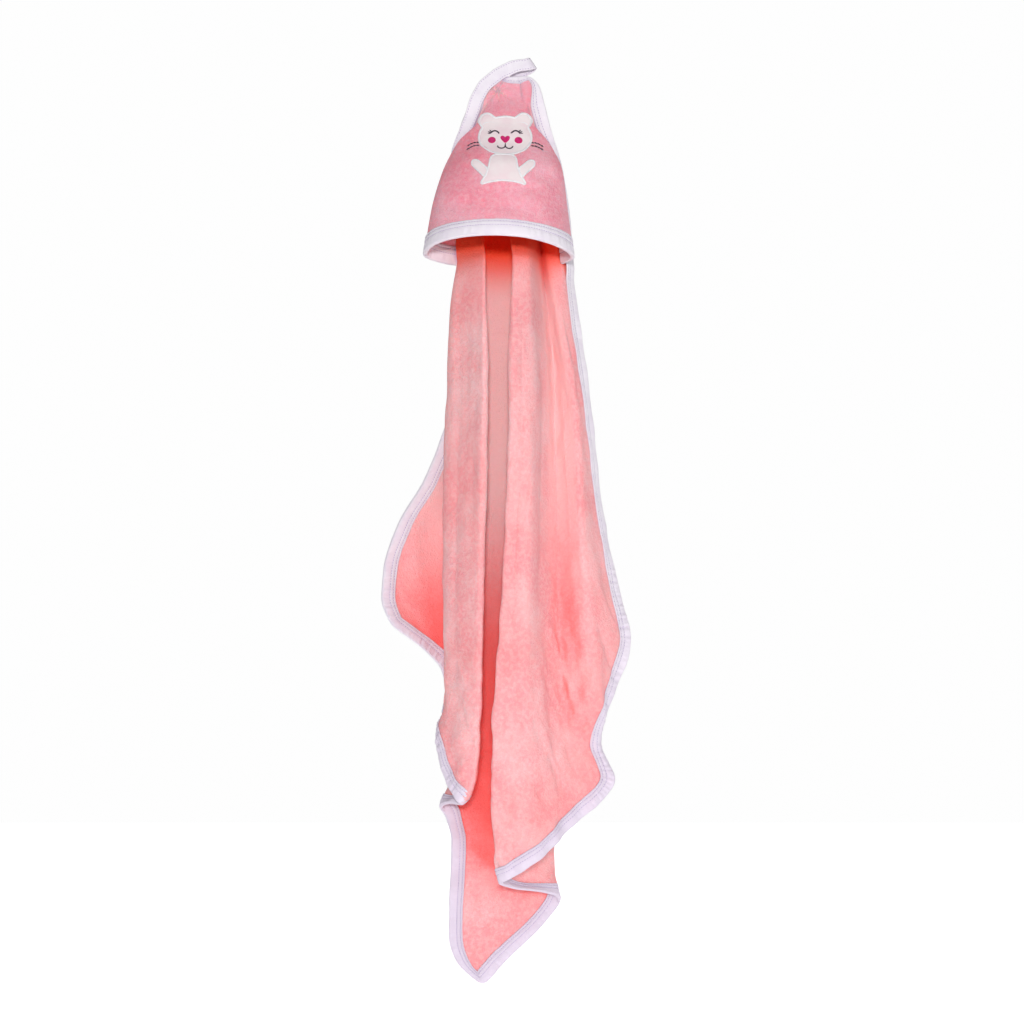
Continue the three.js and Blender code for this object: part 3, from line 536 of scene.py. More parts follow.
def tape_look():
    look = Look("cotton_tape", 0.82, 0.15, (0.95, 0.92, 1.0, 1), 0.3)
    weft = look.bands(520, "UV", "X", 1.0)
    warp = look.bands(520, "UV", "Y", 1.0)
    soft = look.noise(70, 2)
    white, lilac = srgb(252, 246, 254), srgb(238, 225, 243)
    colour = look.blend(look.span(soft, 0.4, 0.72, 0.1, 0.5), white, lilac)
    # painted shade: the tape is painted greyer towards the bottom
    colour = look.blend(look.span(look.up(), -0.95, -0.40, 1.0, 0.0), colour, srgb(229, 216, 234))
    # painted shade: lilac in the tape's crevices, from ambient occlusion
    colour = look.blend(look.span(look.shelter(0.006), 0.3, 0.9, 0.75, 0.0), colour, srgb(204, 182, 218))
    height = look.math("ADD", look.math("ADD", weft, warp), look.math("MULTIPLY", soft, 1.5))
    return look.finish(colour, height, 0.00022, 0.7)


def applique_look():
    look = Look("applique_cotton", 0.85, 0.2, (1, 0.95, 0.97, 1), 0.25)
    weft = look.bands(900, "Object", "X", 1.5)
    warp = look.bands(900, "Object", "Z", 1.5)
    soft = look.noise(60, 2)
    colour = look.blend(look.span(soft, 0.35, 0.7, 0.0, 0.8), srgb(250, 236, 238), srgb(246, 222, 228))
    height = look.math("ADD", look.math("ADD", weft, warp), look.math("MULTIPLY", soft, 1.2))
    return look.finish(colour, height, 0.00015, 0.6)


def thread_look(name, colour, deep, sheen, turn):
    look = Look(name, 0.5, sheen, (1, 1, 1, 1), 0.45)
    strands = look.bands(560, "Object", "X", 1.2, turn)
    soft = look.noise(260, 2)
    mixed = look.blend(look.span(soft, 0.35, 0.7, 0.0, 0.6), colour, deep)
    # painted shade: the strands' grooves, which the bump also lowers, are tinted deeper
    mixed = look.blend(look.span(strands, 0.0, 0.5, 0.35, 0.0), mixed, deep)
    return look.finish(mixed, strands, 0.0003, 0.8)


towel_look = terry("terry_towel", srgb(248, 184, 187), srgb(244, 160, 165), srgb(255, 112, 108), 0.13, True)
hood_look = terry("terry_hood", srgb(247, 180, 195), srgb(243, 154, 171), srgb(226, 72, 92), 0.02, False)
tape = tape_look()
applique = applique_look()
satin = thread_look("satin_white", srgb(254, 253, 254), srgb(238, 230, 240), 0.2, 0.8)
magenta = thread_look("thread_magenta", srgb(226, 24, 122), srgb(190, 8, 84), 0.1, 0.7)
dark = thread_look("thread_dark", srgb(58, 32, 62), srgb(30, 14, 36), 0.02, 0.5)
# mauve seam thread, partly its own colour and partly painted shade of the sunken stitch lines
seam_thread = thread_look("thread_seam", srgb(206, 186, 220), srgb(160, 134, 184), 0.1, 0.5)


# ---- the towel ----
def cloth_piece(name, points, drops, look):
    """Cloth of even thickness round a grid of points, with its flat plan as UVs."""
    across = np.linalg.norm(np.diff(points, axis=1), axis=-1)
    arc = np.cumsum(np.concatenate([np.zeros((len(points), 1)), across], 1), 1)
    flat = np.stack([arc - arc[:, -1:] / 2, drops], -1).reshape(-1, 2)
    half = grid_normals(points) * CLOTH / 2
    return piece(name, shell(points + half, points - half), look, np.concatenate([flat, flat]))


def make_towel():
    """Straight rows from the left outline to the right outline, with 300 columns."""
    rows = np.concatenate([np.arange(0, HOOD_DROP, 3.0), np.arange(HOOD_DROP, LAST_LEVEL, 2.2), [LAST_LEVEL]])
    share = np.linspace(0, 1, 300)[None]
    u, drop = (mix(left[:, None], right[:, None], share)
               for left, right in zip(border(LEFT_OUTLINE, rows), border(RIGHT_OUTLINE, rows)))
    points, _ = surface(np.clip(u, 0, LAST_FOLD), drop)
    return cloth_piece("terry_towel", points, drop, towel_look)


towel = make_towel()


# ---- tapes ----
def tape_profile(width):
    """One face of a folded tape, as (distance in from the fold, height), with a swell between seams."""
    lines = (0.0, SEWN_AT[0] * width, SEWN_AT[1] * width, width)
    spots = []
    for low, high in zip(lines[:-1], lines[1:]):
        for s in np.linspace(0, 1, 7)[:-1]:
            spots.append((mix(low, high, s), 0.3 + 0.85 * math.sqrt(max(0.0, 1 - (2 * s - 1) ** 2)) ** 0.8))
    spots[0] = (0.0, 1.0)
    spots.append((width, 0.30))
    return spots


def tape_sections(points, normals, widths, reach, width, pucker):
    """Loops of points round a folded tape. points is [station, width, xyz]; reach clears the front cloth."""
    out = unit(points[:, 0] - points[:, 2])
    profile = tape_profile(width)

    def at(w):
        k = min(int(np.searchsorted(widths, w, side="right")) - 1, len(widths) - 2)
        f = (w - widths[k]) / (widths[k + 1] - widths[k])
        return mix(points[:, k], points[:, k + 1], f), unit(mix(normals[:, k], normals[:, k + 1], f))

    loop = []
    for w, h in reversed(profile):
        p, n = at(w)
        loop.append(p + n * (reach + h + pucker(w)[:, None] * min(1.0, h)))
    centre = (reach - TAPE_GAP) / 2
    radius = (reach + TAPE_GAP) / 2 + 0.95
    p, n = at(0.0)
    for angle in np.radians([66, 42, 20, 0, -20, -42, -66]):
        loop.append(p + n * (centre + radius * math.sin(angle)) + out * (1.5 * math.cos(angle)))
    for w, h in profile:
        p, n = at(w)
        loop.append(p - n * (TAPE_GAP + h + pucker(w)[:, None] * min(1.0, h) * 0.6))
    for w in (width, width * 0.5, 0.1):
        p, n = at(w)
        loop.append(p - n * (TAPE_GAP - 0.12))
    p, n = at(0.0)
    loop.append(p + out * 0.35 - n * TAPE_GAP * 0.6)
    loop.append(p + out * 0.35 + n * (reach - 0.6))
    for w in (0.1, width * 0.5, width):
        p, n = at(w)
        loop.append(p + n * (reach - 0.12))
    return np.stack(loop, 1)


def stitches(lines, radius, ring):
    """Short thread stitches along lines, each (points, normals). A ring's lines are closed."""
    made = []
    for line, normal in lines:
        if ring:
            line, normal = np.concatenate([line, line[:1]]), np.concatenate([normal, normal[:1]])
        run = lengths(line)
        count = int(run[-1] / STITCH_PITCH)
        start = (np.arange(count) + 0.15) * run[-1] / count
        stops = start[:, None] + np.array([0, 0.22, 0.78, 1]) * STITCH_LENGTH
        p, n = sample(stops, run, line), unit(sample(stops, run, normal))
        along = unit(p[:, -1:] - p[:, :1])
        side = unit(np.cross(n, along))
        size = np.array([0.35, 1, 1, 0.35])[None, :, None] * radius
        sink = np.array([-0.8, 0.25, 0.25, -0.8])[None, :, None] * radius
        corners = [p + n * sink + n * size * math.sin(a) + side * size * math.cos(a)
                   for a in np.radians([0, 72, 144, 216, 288])]
        made.append(np.stack(corners, 2))
    loops = np.concatenate(made)
    count, stations, sides = loops.shape[:3]
    base = (np.arange(count) * stations * sides)[:, None]
    idx = np.arange(stations * sides).reshape(stations, sides)
    nxt = np.roll(idx, -1, axis=1)
    quads = np.stack([idx[:-1], nxt[:-1], nxt[1:], idx[1:]], -1).reshape(-1, 4)
    faces = (base[:, :, None] + quads[None]).reshape(-1, 4).tolist()
    for end in (idx[0][::-1], idx[-1]):
        faces += (base + end[None]).tolist()
    return loops.reshape(-1, 3), faces


def tape_stitching(name, p, n, widths, width, reach, ring):
    """Rows of stitches on both faces of a folded tape."""
    lines = []
    for clear, rise in ((reach, 0.42), (-TAPE_GAP, -0.42)):
        for share in SEWN_AT:
            k = int(np.searchsorted(widths, share * width)) - 1
            f = (share * width - widths[k]) / (widths[k + 1] - widths[k])
            line, normal = mix(p[:, k], p[:, k + 1], f), unit(mix(n[:, k], n[:, k + 1], f))
            lines.append((line + normal * (clear + rise), normal * np.sign(rise)))
    return piece(name, stitches(lines, 0.34, ring), seam_thread)


def flat_strip(run, columns, step):
    """UVs of a strip: length along it and its samples' places round it."""
    return np.stack(np.broadcast_arrays(run[:, None], np.arange(columns)[None] * step), -1).reshape(-1, 2)


def ring_path():
    """(u, drop, level) round the whole outline: left side down, lowest corner, right side up, top."""
    down = np.arange(0, LAST_LEVEL + 0.1, 2.0)
    left, right = border(LEFT_OUTLINE, down), border(RIGHT_OUTLINE, down)
    share = np.linspace(0, 1, 12)[1:-1]
    low_u, low_d = mix(left[0][-1], right[0][-1], share), mix(left[1][-1], right[1][-1], share)
    top_u, top_d = mix(right[0][0], left[0][0], share), np.zeros(len(share))
    return (np.concatenate([left[0], low_u, right[0][::-1], top_u]),
            np.concatenate([left[1], low_d, right[1][::-1], top_d]),
            np.concatenate([down, np.full(len(share), LAST_LEVEL), down[::-1], np.zeros(len(share))]))


def edge_tape():
    u, d, level = ring_path()
    run = lengths(cloth(u, d))
    even = np.arange(0, run[-1], 1.6)
    u, d, level = (np.interp(even, run, v) for v in (u, d, level))
    a = np.clip(u, 0.02, LAST_FOLD - 0.02)
    way = np.stack([stretch(a, d) * (np.roll(u, -1) - np.roll(u, 1)), np.roll(d, -1) - np.roll(d, 1)], -1)
    way = unit(blur(unit(way), 22, 0, True))
    way = way * (mix(0.42, 1, ramp(2, 36, level)) * mix(1, 0.85, ramp(990, LAST_LEVEL, level)))[:, None]
    widths = np.linspace(0, EDGE_TAPE + 0.5, 10)
    found = march(u, d, way[:, 1], -way[:, 0], widths)
    us = np.clip(np.stack([f[0] for f in found], 1), 0, LAST_FOLD)
    ds = np.stack([f[1] for f in found], 1)
    p, n = surface(us, ds)
    p, n = blur(p, 3, 0, True), unit(blur(n, 6, 0, True))
    under_hood = 1 - ramp(206, 228, level)
    reach = (TAPE_GAP + HOOD_LIFT * under_hood)[:, None]
    curl = ramp(520, 600, level) * (1 - ramp(770, 830, level))
    crinkle, ripple = waves(31, 7, 5, 11, 0.2), waves(32, 6, 14, 34, 0.2)

    def pucker(w):
        band = 1.0 if 0.5 < w < 8 else 0.6
        crinkled = (0.16 + 0.34 * curl) * crinkle(even, even * 0 + w * 0.4)
        return band * (crinkled + 0.12 * ripple(even, even * 0))

    loops = tape_sections(p, n, widths, reach, EDGE_TAPE, pucker)
    obj = piece("edge_tape", tube(loops, True), tape, flat_strip(even, loops.shape[1], 1.1))
    return obj, tape_stitching("edge_stitching", p, n, widths, EDGE_TAPE, reach, True)


edge, edge_sewing = edge_tape()


# ---- the hood ----
hood_soft = waves(21, 7, 45, 110, 1.4)
hood_fine = waves(22, 8, 14, 34, 1.6)
PINCH = (-19.0, 13.0)
# Hollows and swells of the hood: x, drop, half width, half height, lift
DENTS = ((34, 122, 10, 9, -1.9), (16, 138, 13, 6, -1.8), (-58, 160, 14, 12, -1.5),
         (44, 158, 14, 10, -1.4), (-42, 96, 12, 8, 1.2), (24, 150, 20, 9, 1.1))


def bridge(seam, start, beyond):
    """Curve from the sewn strip's edge to the front, leaving the front in its own direction."""
    control = start + unit(start - beyond) * 0.15 * np.linalg.norm(seam - start)
    t = np.linspace(0, 1, 16)[1:-1, None]
    return (1 - t) ** 2 * seam + 2 * t * (1 - t) * control + t * t * start


def hood_rows():
    """Rows of the smooth hood: on the towel near the tip, then bulging off it between its sewn edges."""
    drops = np.concatenate([np.arange(0, 196, 1.6), np.linspace(196, HOOD_DROP, 7)])
    strip = np.linspace(0, STRIP, 8)
    none, one = np.zeros(len(drops)), np.ones(len(drops))
    left = [surface(u, d) for u, d in march(none, drops, one, none, strip)]
    right = [surface(u, d) for u, d in march(none + LAST_FOLD, drops, -one, none, strip)]
    rows = []
    for j, drop in enumerate(drops):
        cx, half, cy, depth, a, b = (float(curve(HOOD_SHAPE, c, drop)) for c in range(1, 7))
        angle = np.radians(np.linspace(-a, b, 90))
        front = np.stack([TIP[0] + cx + half * np.sin(angle), cy - depth * np.cos(angle),
                          np.full(90, TIP[2] - drop)], -1)
        on_left, on_right = ([p[j] + n[j] * HOOD_LIFT for p, n in side] for side in (left, right))
        if drop < 46:
            p, n = surface(np.linspace(0, LAST_FOLD, 140), np.full(140, drop))
            lying = resample(p + n * HOOD_LIFT, HOOD_COLUMNS)
        if drop > 12:
            line = np.concatenate([on_left, bridge(on_left[-1], front[0], front[1]), front,
                                   bridge(on_right[-1], front[-1], front[-2])[::-1], on_right[::-1]])
            shaped = resample(line, HOOD_COLUMNS)
            shaped[14:-14] = blur(shaped, 10)[14:-14]
        if drop <= 12:
            rows.append(lying)
        elif drop < 46:
            rows.append(mix(lying, shaped, float(ramp(12, 44, drop))))
        else:
            rows.append(shaped)
    return drops, np.stack(rows)


def crease_hood(drops, points):
    """Smooths the hood, arches its rim and adds its creases."""
    points[:, 16:-16] = blur(points, 6)[:, 16:-16]
    points[2:30, 14:-14] = blur(blur(points[:32], 40, 1), 4)[2:30, 14:-14]
    column = np.arange(HOOD_COLUMNS)
    middle_share = np.sin(np.pi * np.clip((column - 25) / 149, 0, 1)) ** 1.3
    points[..., 2] += RIM_ARCH * middle_share[None] * ramp(146, HOOD_DROP, drops)[:, None]
    normals = grid_normals(points)
    x, drop = points[..., 0] - TIP[0], np.broadcast_to(drops[:, None], points.shape[:2])
    rim_calm = 1 - ramp(172, 192, drop)
    lift = 0.9 * hood_soft(x, drop) + 0.28 * hood_fine(x, drop)
    lift = lift * ramp(30, 70, drop) * (0.35 + 0.65 * rim_calm)
    away = np.hypot(x - PINCH[0], (drop - PINCH[1]) * 1.1)
    ray = np.arctan2(drop - PINCH[1], x - PINCH[0])
    lift = lift + 1.7 * np.sin(7 * ray + 0.6) * np.exp(-((away - 9) / 9) ** 2) * ramp(4, 14, drop)
    lift = lift - 2.2 * np.exp(-(away / 4.5) ** 2) * ramp(4, 12, drop)
    for at_x, at_drop, wide, tall, high in DENTS:
        lift = lift + high * np.exp(-((x - at_x) / wide) ** 2 - ((drop - at_drop) / tall) ** 2)
    inner = np.minimum(ramp(18, 40, column), ramp(18, 40, column[::-1]))[None, :]
    face_on = ramp(0.1, 0.5, -normals[..., 1])
    return points + normals * (lift * inner * face_on)[..., None]


hood_drops, smooth_hood = hood_rows()
hood_points = crease_hood(hood_drops, smooth_hood)
hood_normals = grid_normals(hood_points)
hood = cloth_piece("terry_hood", hood_points, np.broadcast_to(hood_drops[:, None], hood_points.shape[:2]),
                   hood_look)


def rim_tape():
    widths = np.linspace(0, RIM_TAPE + 0.5, 12)
    end = 11
    column = np.arange(HOOD_COLUMNS)
    columns = np.arange(end, HOOD_COLUMNS - end + 0.01, 0.5)
    rows_p, rows_n = [], []
    for w in widths:
        row = np.interp(HOOD_DROP - w, hood_drops, np.arange(len(hood_drops)))
        k = min(int(row), len(hood_drops) - 2)
        rows_p.append(sample(columns, column, mix(hood_points[k], hood_points[k + 1], row - k)))
        rows_n.append(unit(sample(columns, column, mix(hood_normals[k], hood_normals[k + 1], row - k))))
    p, n = np.stack(rows_p, 1), np.stack(rows_n, 1)
    p, n = blur(p, 3), unit(blur(n, 3))
    run = lengths(p[:, 0])
    crinkle = waves(41, 7, 6, 13, 0.2)
    reach = np.full((len(run), 1), TAPE_GAP)
    loops = tape_sections(p, n, widths, reach, RIM_TAPE, lambda w: 0.15 * crinkle(run, run * 0 + w * 0.3))
    obj = piece("rim_tape", tube(loops), tape, flat_strip(run, loops.shape[1], 1.3))
    return obj, tape_stitching("rim_stitching", p, n, widths, RIM_TAPE, reach, False)


rim, rim_sewing = rim_tape()


# ---- the hanging loop ----
def tilt(degrees):
    """The loop tape's width direction, turned from upright towards the left."""
    a = math.radians(degrees)
    return np.array([-math.sin(a), 0, math.cos(a)])


def loop_route():
    """Stations of the loop, each (centre, width direction, facing), from its sewn-in end."""
    level = np.linspace(100, 42, 10)
    u, d = border(LEFT_OUTLINE, level)
    side = march(u, d, np.ones(10), np.zeros(10), (0, EDGE_TAPE / 2, EDGE_TAPE))
    (rim_p, _), (mid_p, mid_n), (in_p, _) = (surface(a, b) for a, b in side)
    stand = (CLOTH / 2 + HOOD_LIFT + mix(2.1, -0.4, ramp(80, 100, level)))[:, None]
    stations = list(zip(mid_p + mid_n * stand, unit(rim_p - in_p), mid_n))
    front = np.array([0.0, -1, 0])
    stations += [(TIP + np.array([x, y, z]), tilt(a), front) for x, y, z, a in LOOP_FRONT]
    across = tilt(33)
    ahead = np.array([across[2], 0, -across[0]])
    for k in range(7):
        a = math.pi * k / 6
        facing = front * math.cos(a) + ahead * math.sin(a)
        stations.append((facing * (LOOP_BORE + LOOP_THICKNESS / 2), across, facing))
    stations += [(TIP + np.array([x, y, z]), tilt(a), -front) for x, y, z, a in LOOP_BACK]
    return [np.array([s[i] for s in stations], float) for i in range(3)]


def hanging_loop():
    route = loop_route()
    run = lengths(route[0])
    along = np.arange(0, run[-1], 0.8)
    centre, wide, facing = (sample(along, run, v) for v in route)
    centre, wide, facing = blur(centre, 24), unit(blur(wide, 60)), unit(blur(facing, 24))
    crumple, crease = waves(51, 7, 7, 18, 0.5), waves(52, 5, 20, 40, 0.4)
    calm = ramp(0, 10, along)
    stitched_at = 0.72

    def line(x, rise):
        """Points at a share of the half width and a rise off the middle, with the crumpling."""
        bulge = 0.28 * crumple(along, along * 0 + 9 * x) + 0.35 * crease(along, along * 0 + 12 * x)
        return centre + wide * (x * LOOP_WIDTH / 2) + facing * (rise + 0.45 * bulge * calm)[:, None]

    flat_part = [(x, 1.0) for x in np.linspace(-0.9, 0.9, 15)]
    profile = [(-1.0, 0.0), (-0.97, 0.55), *flat_part, (0.97, 0.55), (1.0, 0.0)]
    sides = []
    for sign, spots in ((1, profile), (-1, profile[::-1][1:-1])):
        for x, h in spots:
            groove = 0.35 * math.exp(-((abs(x) - stitched_at) / 0.05) ** 2)
            sides.append(line(x, sign * (LOOP_THICKNESS / 2) * (h - groove)))
    loops = np.stack(sides, 1)
    obj = piece("hanging_loop_tape", tube(loops), tape, flat_strip(along, loops.shape[1], 0.9))
    lines = [(line(x, sign * 0.6), facing * sign) for sign in (1, -1) for x in (-stitched_at, stitched_at)]
    return obj, piece("loop_stitching", stitches(lines, 0.3, False), seam_thread), run[-1]


loop, loop_sewing, loop_length = hanging_loop()

# ---- applique and embroidery on the hood's front ----
FACE_STEP = 0.5
FACE_X = np.arange(-66, 46, FACE_STEP)


def front_profile(points, normals):
    """The y of the hood's front at every x in FACE_X, for one row."""
    seen = points[20:-20] + normals[20:-20] * CLOTH / 2
    order = np.argsort(seen[:, 0])
    return np.interp(FACE_X, seen[order, 0] - TIP[0], seen[order, 1])


front_y = np.array([front_profile(*row) for row in zip(hood_points, hood_normals)])


def front_height(x, d):
    i = np.clip((x - FACE_X[0]) / FACE_STEP, 0, len(FACE_X) - 1.001)
    j = np.clip(np.interp(d, hood_drops, np.arange(len(hood_drops))), 0, len(hood_drops) - 1.001)
    i0, j0 = i.astype(int), j.astype(int)
    low, high = (mix(front_y[row, i0], front_y[row, i0 + 1], i - i0) for row in (j0, j0 + 1))
    return mix(low, high, j - j0)


def on_hood(x, d, raise_):
    """Points at x and drop from the hood's tip, raised off its front."""
    x, d = np.asarray(x, float), np.asarray(d, float)
    y = front_height(x, d)
    slope_x = (front_height(x + 1.5, d) - front_height(x - 1.5, d)) / 3
    slope_d = (front_height(x, d + 1.5) - front_height(x, d - 1.5)) / 3
    normal = unit(np.stack([slope_x, -np.ones_like(y), -slope_d], -1))
    return np.stack([TIP[0] + x, y, TIP[2] - d], -1) + normal * np.asarray(raise_)[..., None]


# Kitten: x and drop of its middles, and half sizes
HEAD, HEAD_HALF = np.array([-11.0, 73.0]), (29.0, 25.0)
EAR_AWAY, EAR_UP, EAR_HALF = 20.4, 20.8, (8.6, 8.8)
TRUNK = np.array([-13.0, 119.0])


def outline(inside, centre, reach, count):
    """Points where rays from the centre leave a shape, found from outside in."""
    found = []
    for k in range(count):
        a = 2 * math.pi * k / count
        r = reach
        while r > 0.5 and not inside(centre[0] + r * math.cos(a), centre[1] + r * math.sin(a)):
            r -= 0.1
        found.append((centre[0] + r * math.cos(a), centre[1] + r * math.sin(a)))
    return blur(np.array(found), 2, 0, True)


def patch(points, centre, base, thick, puff, rings=14):
    """A closed pad over an outline of (x, drop) points, crowned by puff in the middle."""
    count = len(points)
    share = np.linspace(0, 1, rings + 1)[1:]
    grid = np.array(centre)[None, None] + (points[None] - np.array(centre)) * share[:, None, None]
    crown = puff * (1 - share ** 4) + thick * np.where(share > 0.985, 0.6, 1.0)
    top = on_hood(grid[..., 0], grid[..., 1], base + np.broadcast_to(crown[:, None], grid.shape[:2]))
    low = on_hood(grid[..., 0], grid[..., 1], np.full(grid.shape[:2], base))
    ends = [on_hood([centre[0]], [centre[1]], [h]) for h in (base + thick + puff, base)]
    n = rings * count
    pts = np.concatenate([top.reshape(-1, 3), low.reshape(-1, 3), ends[0], ends[1]])
    idx = np.arange(n).reshape(rings, count)
    nxt = np.roll(idx, -1, axis=1)
    faces = np.stack([idx[:-1], nxt[:-1], nxt[1:], idx[1:]], -1).reshape(-1, 4).tolist()
    faces += (np.stack([idx[:-1], idx[1:], nxt[1:], nxt[:-1]], -1).reshape(-1, 4) + n).tolist()
    faces += np.stack([idx[-1], nxt[-1], nxt[-1] + n, idx[-1] + n], -1).tolist()
    faces += [[2 * n, int(b), int(a)] for a, b in zip(idx[0], nxt[0])]
    faces += [[2 * n + 1, int(a) + n, int(b) + n] for a, b in zip(idx[0], nxt[0])]
    return pts, faces


def satin_line(points, width, base, high, closed=True, pitch=0.42, taper=False):
    """A raised band of satin stitches along (x, drop) points: each stitch is a small ridge."""
    line = np.concatenate([points, points[:1]]) if closed else np.asarray(points, float)
    run = lengths(line)
    count = max(6, int(run[-1] / (pitch / 2)) // 2 * 2)
    s = np.linspace(0, run[-1], count + 1)
    s = s[:-1] if closed else s
    at = sample(s, run, line)
    way = np.roll(at, -2, 0) - np.roll(at, 2, 0) if closed else np.gradient(at, axis=0)
    way = unit(way)
    side = np.stack([-way[:, 1], way[:, 0]], -1)
    ridge = np.where(np.arange(len(s)) % 2 == 0, 1.0, 0.82)
    size = np.ones(len(s))
    if taper:
        size = np.clip(np.minimum(np.arange(len(s)), np.arange(len(s))[::-1]) / 5, 0.35, 1)
    loops = []
    for a in np.radians([0, 30, 60, 90, 120, 150, 180]):
        off = side * (math.cos(a) * width / 2 * size)[:, None] + way * (0.35 * math.cos(a))
        rise = base + high * math.sin(a) ** 0.8 * ridge * size + 0.05
        loops.append(on_hood(at[:, 0] + off[:, 0], at[:, 1] + off[:, 1], rise))
    loops.append(on_hood(at[:, 0], at[:, 1], np.full(len(s), base - 0.15)))
    return tube(np.stack(loops, 1), closed)


def in_ellipse(x, d, centre, a, b):
    return ((x - centre[0]) / a) ** 2 + ((d - centre[1]) / b) ** 2 <= 1


def rounded(points, rounds):
    """Corner-cut smoothing of a closed outline of (x, drop) points."""
    p = np.asarray(points, float)
    for _ in range(rounds):
        q = np.roll(p, -1, 0)
        p = np.stack([mix(p, q, 0.25), mix(p, q, 0.75)], 1).reshape(-1, 2)
    return p


CLOTH_BASE = 0.35  # applique's underside above the hood's front
PAD = 0.9
ON_PAD = CLOTH_BASE + PAD + 0.45  # embroidery's height on the applique


def head_inside(x, d):
    ears = any(in_ellipse(x, d, (HEAD[0] + s * EAR_AWAY, HEAD[1] - EAR_UP), *EAR_HALF) for s in (-1, 1))
    return ears or in_ellipse(x, d, HEAD, *HEAD_HALF)


def head_pieces():
    edge_line = outline(head_inside, HEAD, 60, 180)
    pad = patch(edge_line, HEAD, CLOTH_BASE, PAD, 0.5)
    head = piece("applique_head_pad", pad, applique)
    rim_line = satin_line(edge_line, 2.6, CLOTH_BASE + 0.35, 1.15)
    ears = []
    for s in (-1, 1):
        a = np.radians(np.linspace(20, 160, 24))
        arc = np.stack([HEAD[0] + s * 17.2 + 8.2 * np.cos(a), HEAD[1] - 13.6 - 5.4 * np.sin(a) * 0.9], -1)
        ears.append(satin_line(arc, 1.3, ON_PAD - 0.5, 0.5, False, taper=True))
    return head, piece("applique_head_satin", join([rim_line] + ears), satin)


def body_pieces():
    x0, d0 = TRUNK
    trunk = [(-13.5, -20.5), (0, -20.8), (13.5, -20.5), (15.5, -4), (19.5, 6), (25.5, 15.5), (17, 13.2),
             (8, 11.6), (0, 11.0), (-8, 11.6), (-17, 13.2), (-25.5, 15.5), (-19.5, 6), (-15.5, -4)]
    shapes = [rounded([(x0 + x, d0 + d) for x, d in trunk], 2)]
    arm = [(17.0, -3.5), (22, -8), (28, -14.5), (33.5, -15), (34.5, -9.5), (29, -3.0), (23.5, 3.0),
           (20, 7.5), (17.8, 3)]
    for s in (-1, 1):
        placed = [(x0 + s * x, d0 + d) for x, d in arm]
        shapes.append(rounded(placed[::s], 3))
    pads, lines = [], []
    for shape in shapes:
        even = resample(np.vstack([shape, shape[:1]]), 121)[:-1]
        pads.append(patch(even, even.mean(0), CLOTH_BASE, PAD, 0.4, 10))
        lines.append(satin_line(even, 2.2, CLOTH_BASE + 0.35, 1.0))
    return (piece("applique_body_pad", join(pads), applique),
            piece("applique_body_satin", join(lines), satin))


def disc(centre, radius):
    a = np.linspace(0, 2 * np.pi, 48, endpoint=False)
    return np.stack([centre[0] + radius * np.cos(a), centre[1] + radius * np.sin(a)], -1)


def broken(line, width, base, count):
    """A line of single long stitches, each a small rounded strand."""
    run = lengths(line)
    spots = [np.linspace(k, k + 0.94, 9) * run[-1] / count for k in range(count)]
    return [satin_line(sample(s, run, line), width, base, 0.55, False, 0.8, True) for s in spots]


def dark_line(points, width, high):
    """A thin tapered line of satin on the applique's face."""
    return satin_line(points, width, ON_PAD - 0.3, high, False, taper=True)


def face_pieces():
    made = {}
    for side, name in ((-1, "left"), (1, "right")):
        cheek = (HEAD[0] + side * 14.5, HEAD[1] + 5.5)
        pad = patch(disc(cheek, 4.4), cheek, ON_PAD - 0.35, 0.45, 0.35, 8)
        made[f"cheek_{name}"] = (pad, magenta, "magenta_thread")
        eye = (HEAD[0] + side * 11.5, HEAD[1] - 2.5)
        t = np.linspace(-1, 1, 21)
        arc = np.stack([eye[0] + 5.4 * t, eye[1] + 4 * (t * t - 1)], -1)
        parts = [dark_line(arc, 1.9, 0.8)]
        for dx, dd, run_x, run_d in ((4.9, -0.9, 3.0, -0.4), (4.4, -1.7, 2.8, -2.0), (3.4, -2.6, 2.2, -3.0)):
            start = np.array([eye[0] + side * dx, eye[1] + dd])
            lash = start + np.array([side * run_x, run_d]) * np.linspace(0, 1, 7)[:, None]
            parts.append(dark_line(lash, 1.4, 0.7))
        made[f"eye_{name}"] = (join(parts), dark, "dark_thread")
        for k, level in enumerate(("upper", "lower")):
            tip = np.array([HEAD[0] + side * 42, HEAD[1] + 10 + k * 5])
            root = np.array([HEAD[0] + side * 28.5, HEAD[1] + 7 + k * 4])
            t = np.linspace(0, 1, 15)[:, None]
            path = mix(root, tip, t) - np.array([0, 1.6]) * np.sin(np.pi * t)
            made[f"whisker_{name}_{level}"] = (join(broken(path, 2.7, ON_PAD - 0.75, 4)), dark, "dark_thread")
    heart = [(0, -2.2), (1.6, -4.0), (3.9, -4.3), (5.6, -2.6), (5.0, 0.4), (2.8, 3.6), (0, 6.4), (-2.8, 3.6),
             (-5.0, 0.4), (-5.6, -2.6), (-3.9, -4.3), (-1.6, -4.0)]
    nose = rounded([(HEAD[0] + x, HEAD[1] + 4 + d) for x, d in heart], 2)
    pad = patch(nose, (HEAD[0], HEAD[1] + 4.2), ON_PAD - 0.35, 0.45, 0.4, 8)
    made["nose"] = (pad, magenta, "magenta_thread")
    t = np.linspace(-1, 1, 41)
    bow = np.sqrt(np.maximum(0, 1 - (2 * np.abs(t) - 1) ** 2))
    smile = np.stack([HEAD[0] + 8.5 * t, HEAD[1] + 13 + 4.2 * bow], -1)
    stem = np.stack([np.full(7, HEAD[0]), HEAD[1] + np.linspace(9.2, 13.2, 7)], -1)
    made["mouth"] = (join([dark_line(smile, 1.6, 0.7), dark_line(stem, 1.4, 0.6)]), dark, "dark_thread")
    return {name: piece(name + "_stitching", body, look) for name, (body, look, slot) in made.items()}


head_pad, head_satin = head_pieces()
body_pad, body_satin = body_pieces()
stitched = face_pieces()

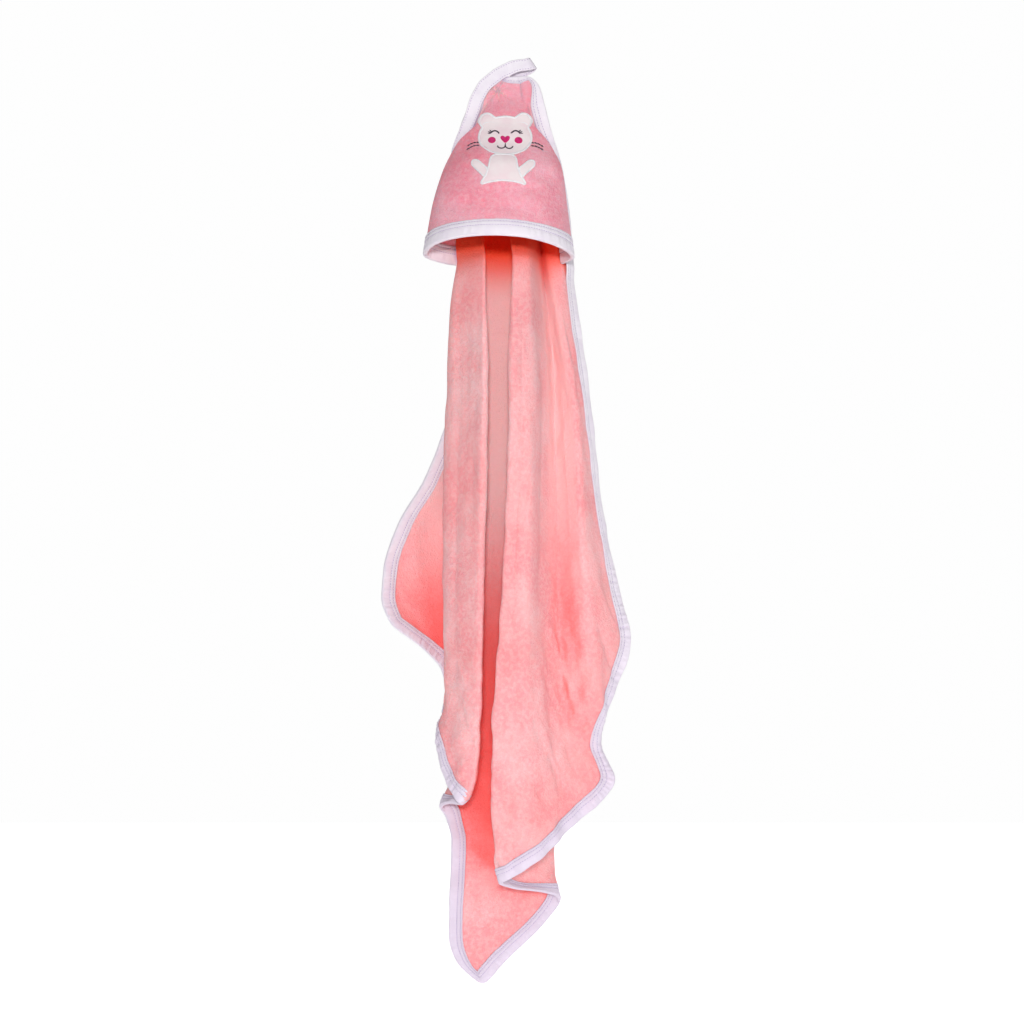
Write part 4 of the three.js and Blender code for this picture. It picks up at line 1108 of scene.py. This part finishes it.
# ---- which piece stands for which CAD node, and what it rides on ----
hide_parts("towel_cloth")
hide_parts("hood_cloth")
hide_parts("edge_binding")
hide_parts("rim_binding")
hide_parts("hanging_loop")
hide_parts("applique_head")
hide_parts("applique_body")
for name, obj in stitched.items():
    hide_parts(name)
on_towel = [towel, hood, edge, edge_sewing, rim, rim_sewing, head_pad, head_satin, body_pad, body_satin]
for obj in on_towel + list(stitched.values()):
    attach(obj, "towel")
for obj in (loop, loop_sewing):
    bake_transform(obj)

# ---- floor, light and camera ----
scene = bpy.context.scene
scene.view_settings.view_transform = "Standard"
world = bpy.data.worlds.new("studio")
world.use_nodes = True
backdrop = world.node_tree.nodes["Background"]
backdrop.inputs["Color"].default_value = (1, 1, 1, 1)
seen_by = world.node_tree.nodes.new("ShaderNodeLightPath")
strength = world.node_tree.nodes.new("ShaderNodeMapRange")
strength.inputs["To Min"].default_value = 0.34  # as a light
strength.inputs["To Max"].default_value = 0.99  # to the camera
world.node_tree.links.new(seen_by.outputs["Is Camera Ray"], strength.inputs["Value"])
world.node_tree.links.new(strength.outputs["Result"], backdrop.inputs["Strength"])
scene.world = world

floor_look = Look("floor", 0.9)
speckle = floor_look.noise(3, 2)
floor_look.shader.inputs["Emission Color"].default_value = (1, 1, 1, 1)
floor_look.shader.inputs["Emission Strength"].default_value = 0.82
greys = srgb(190, 190, 190), srgb(187, 187, 188)
floor_look.finish(floor_look.blend(floor_look.span(speckle, 0.3, 0.7), *greys))
floor_mesh = bpy.data.meshes.new("floor")
HALF, LEVEL = 1.0, -1.075
corners = [(x * HALF, y * HALF, LEVEL) for x, y in ((-1, -1), (1, -1), (1, 1), (-1, 1))]
floor_mesh.from_pydata(corners, [], [(0, 1, 2, 3)])
floor_mesh.materials.append(floor_look.material)
floor = bpy.data.objects.new("floor", floor_mesh)
scene.collection.objects.link(floor)


def area_light(name, place, target, size, watts):
    data = bpy.data.lights.new(name, "AREA")
    data.shape, data.size, data.energy = "DISK", size, watts
    lamp = bpy.data.objects.new(name, data)
    lamp.location = place
    lamp.rotation_euler = (Vector(target) - Vector(place)).to_track_quat("-Z", "Y").to_euler()
    scene.collection.objects.link(lamp)


area_light("front", (-0.03, -2.0, -0.27), (-0.02, 0, -0.38), 0.16, 23)
area_light("key", (-1.4, -1.7, 0.7), (-0.02, 0, -0.5), 0.6, 4)
area_light("fill", (1.5, -1.0, -0.3), (-0.02, 0, -0.5), 0.8, 5)
area_light("back", (0.6, 2.3, 0.3), (0, 0, -0.5), 1.4, 30)

camera_data = bpy.data.cameras.new("camera")
camera_data.lens, camera_data.sensor_width = 50, 36
camera = bpy.data.objects.new("camera", camera_data)
camera.location = (-0.0194, -1.607, -0.504)
camera.rotation_euler = (math.radians(90), 0, 0)
scene.collection.objects.link(camera)
scene.camera = camera
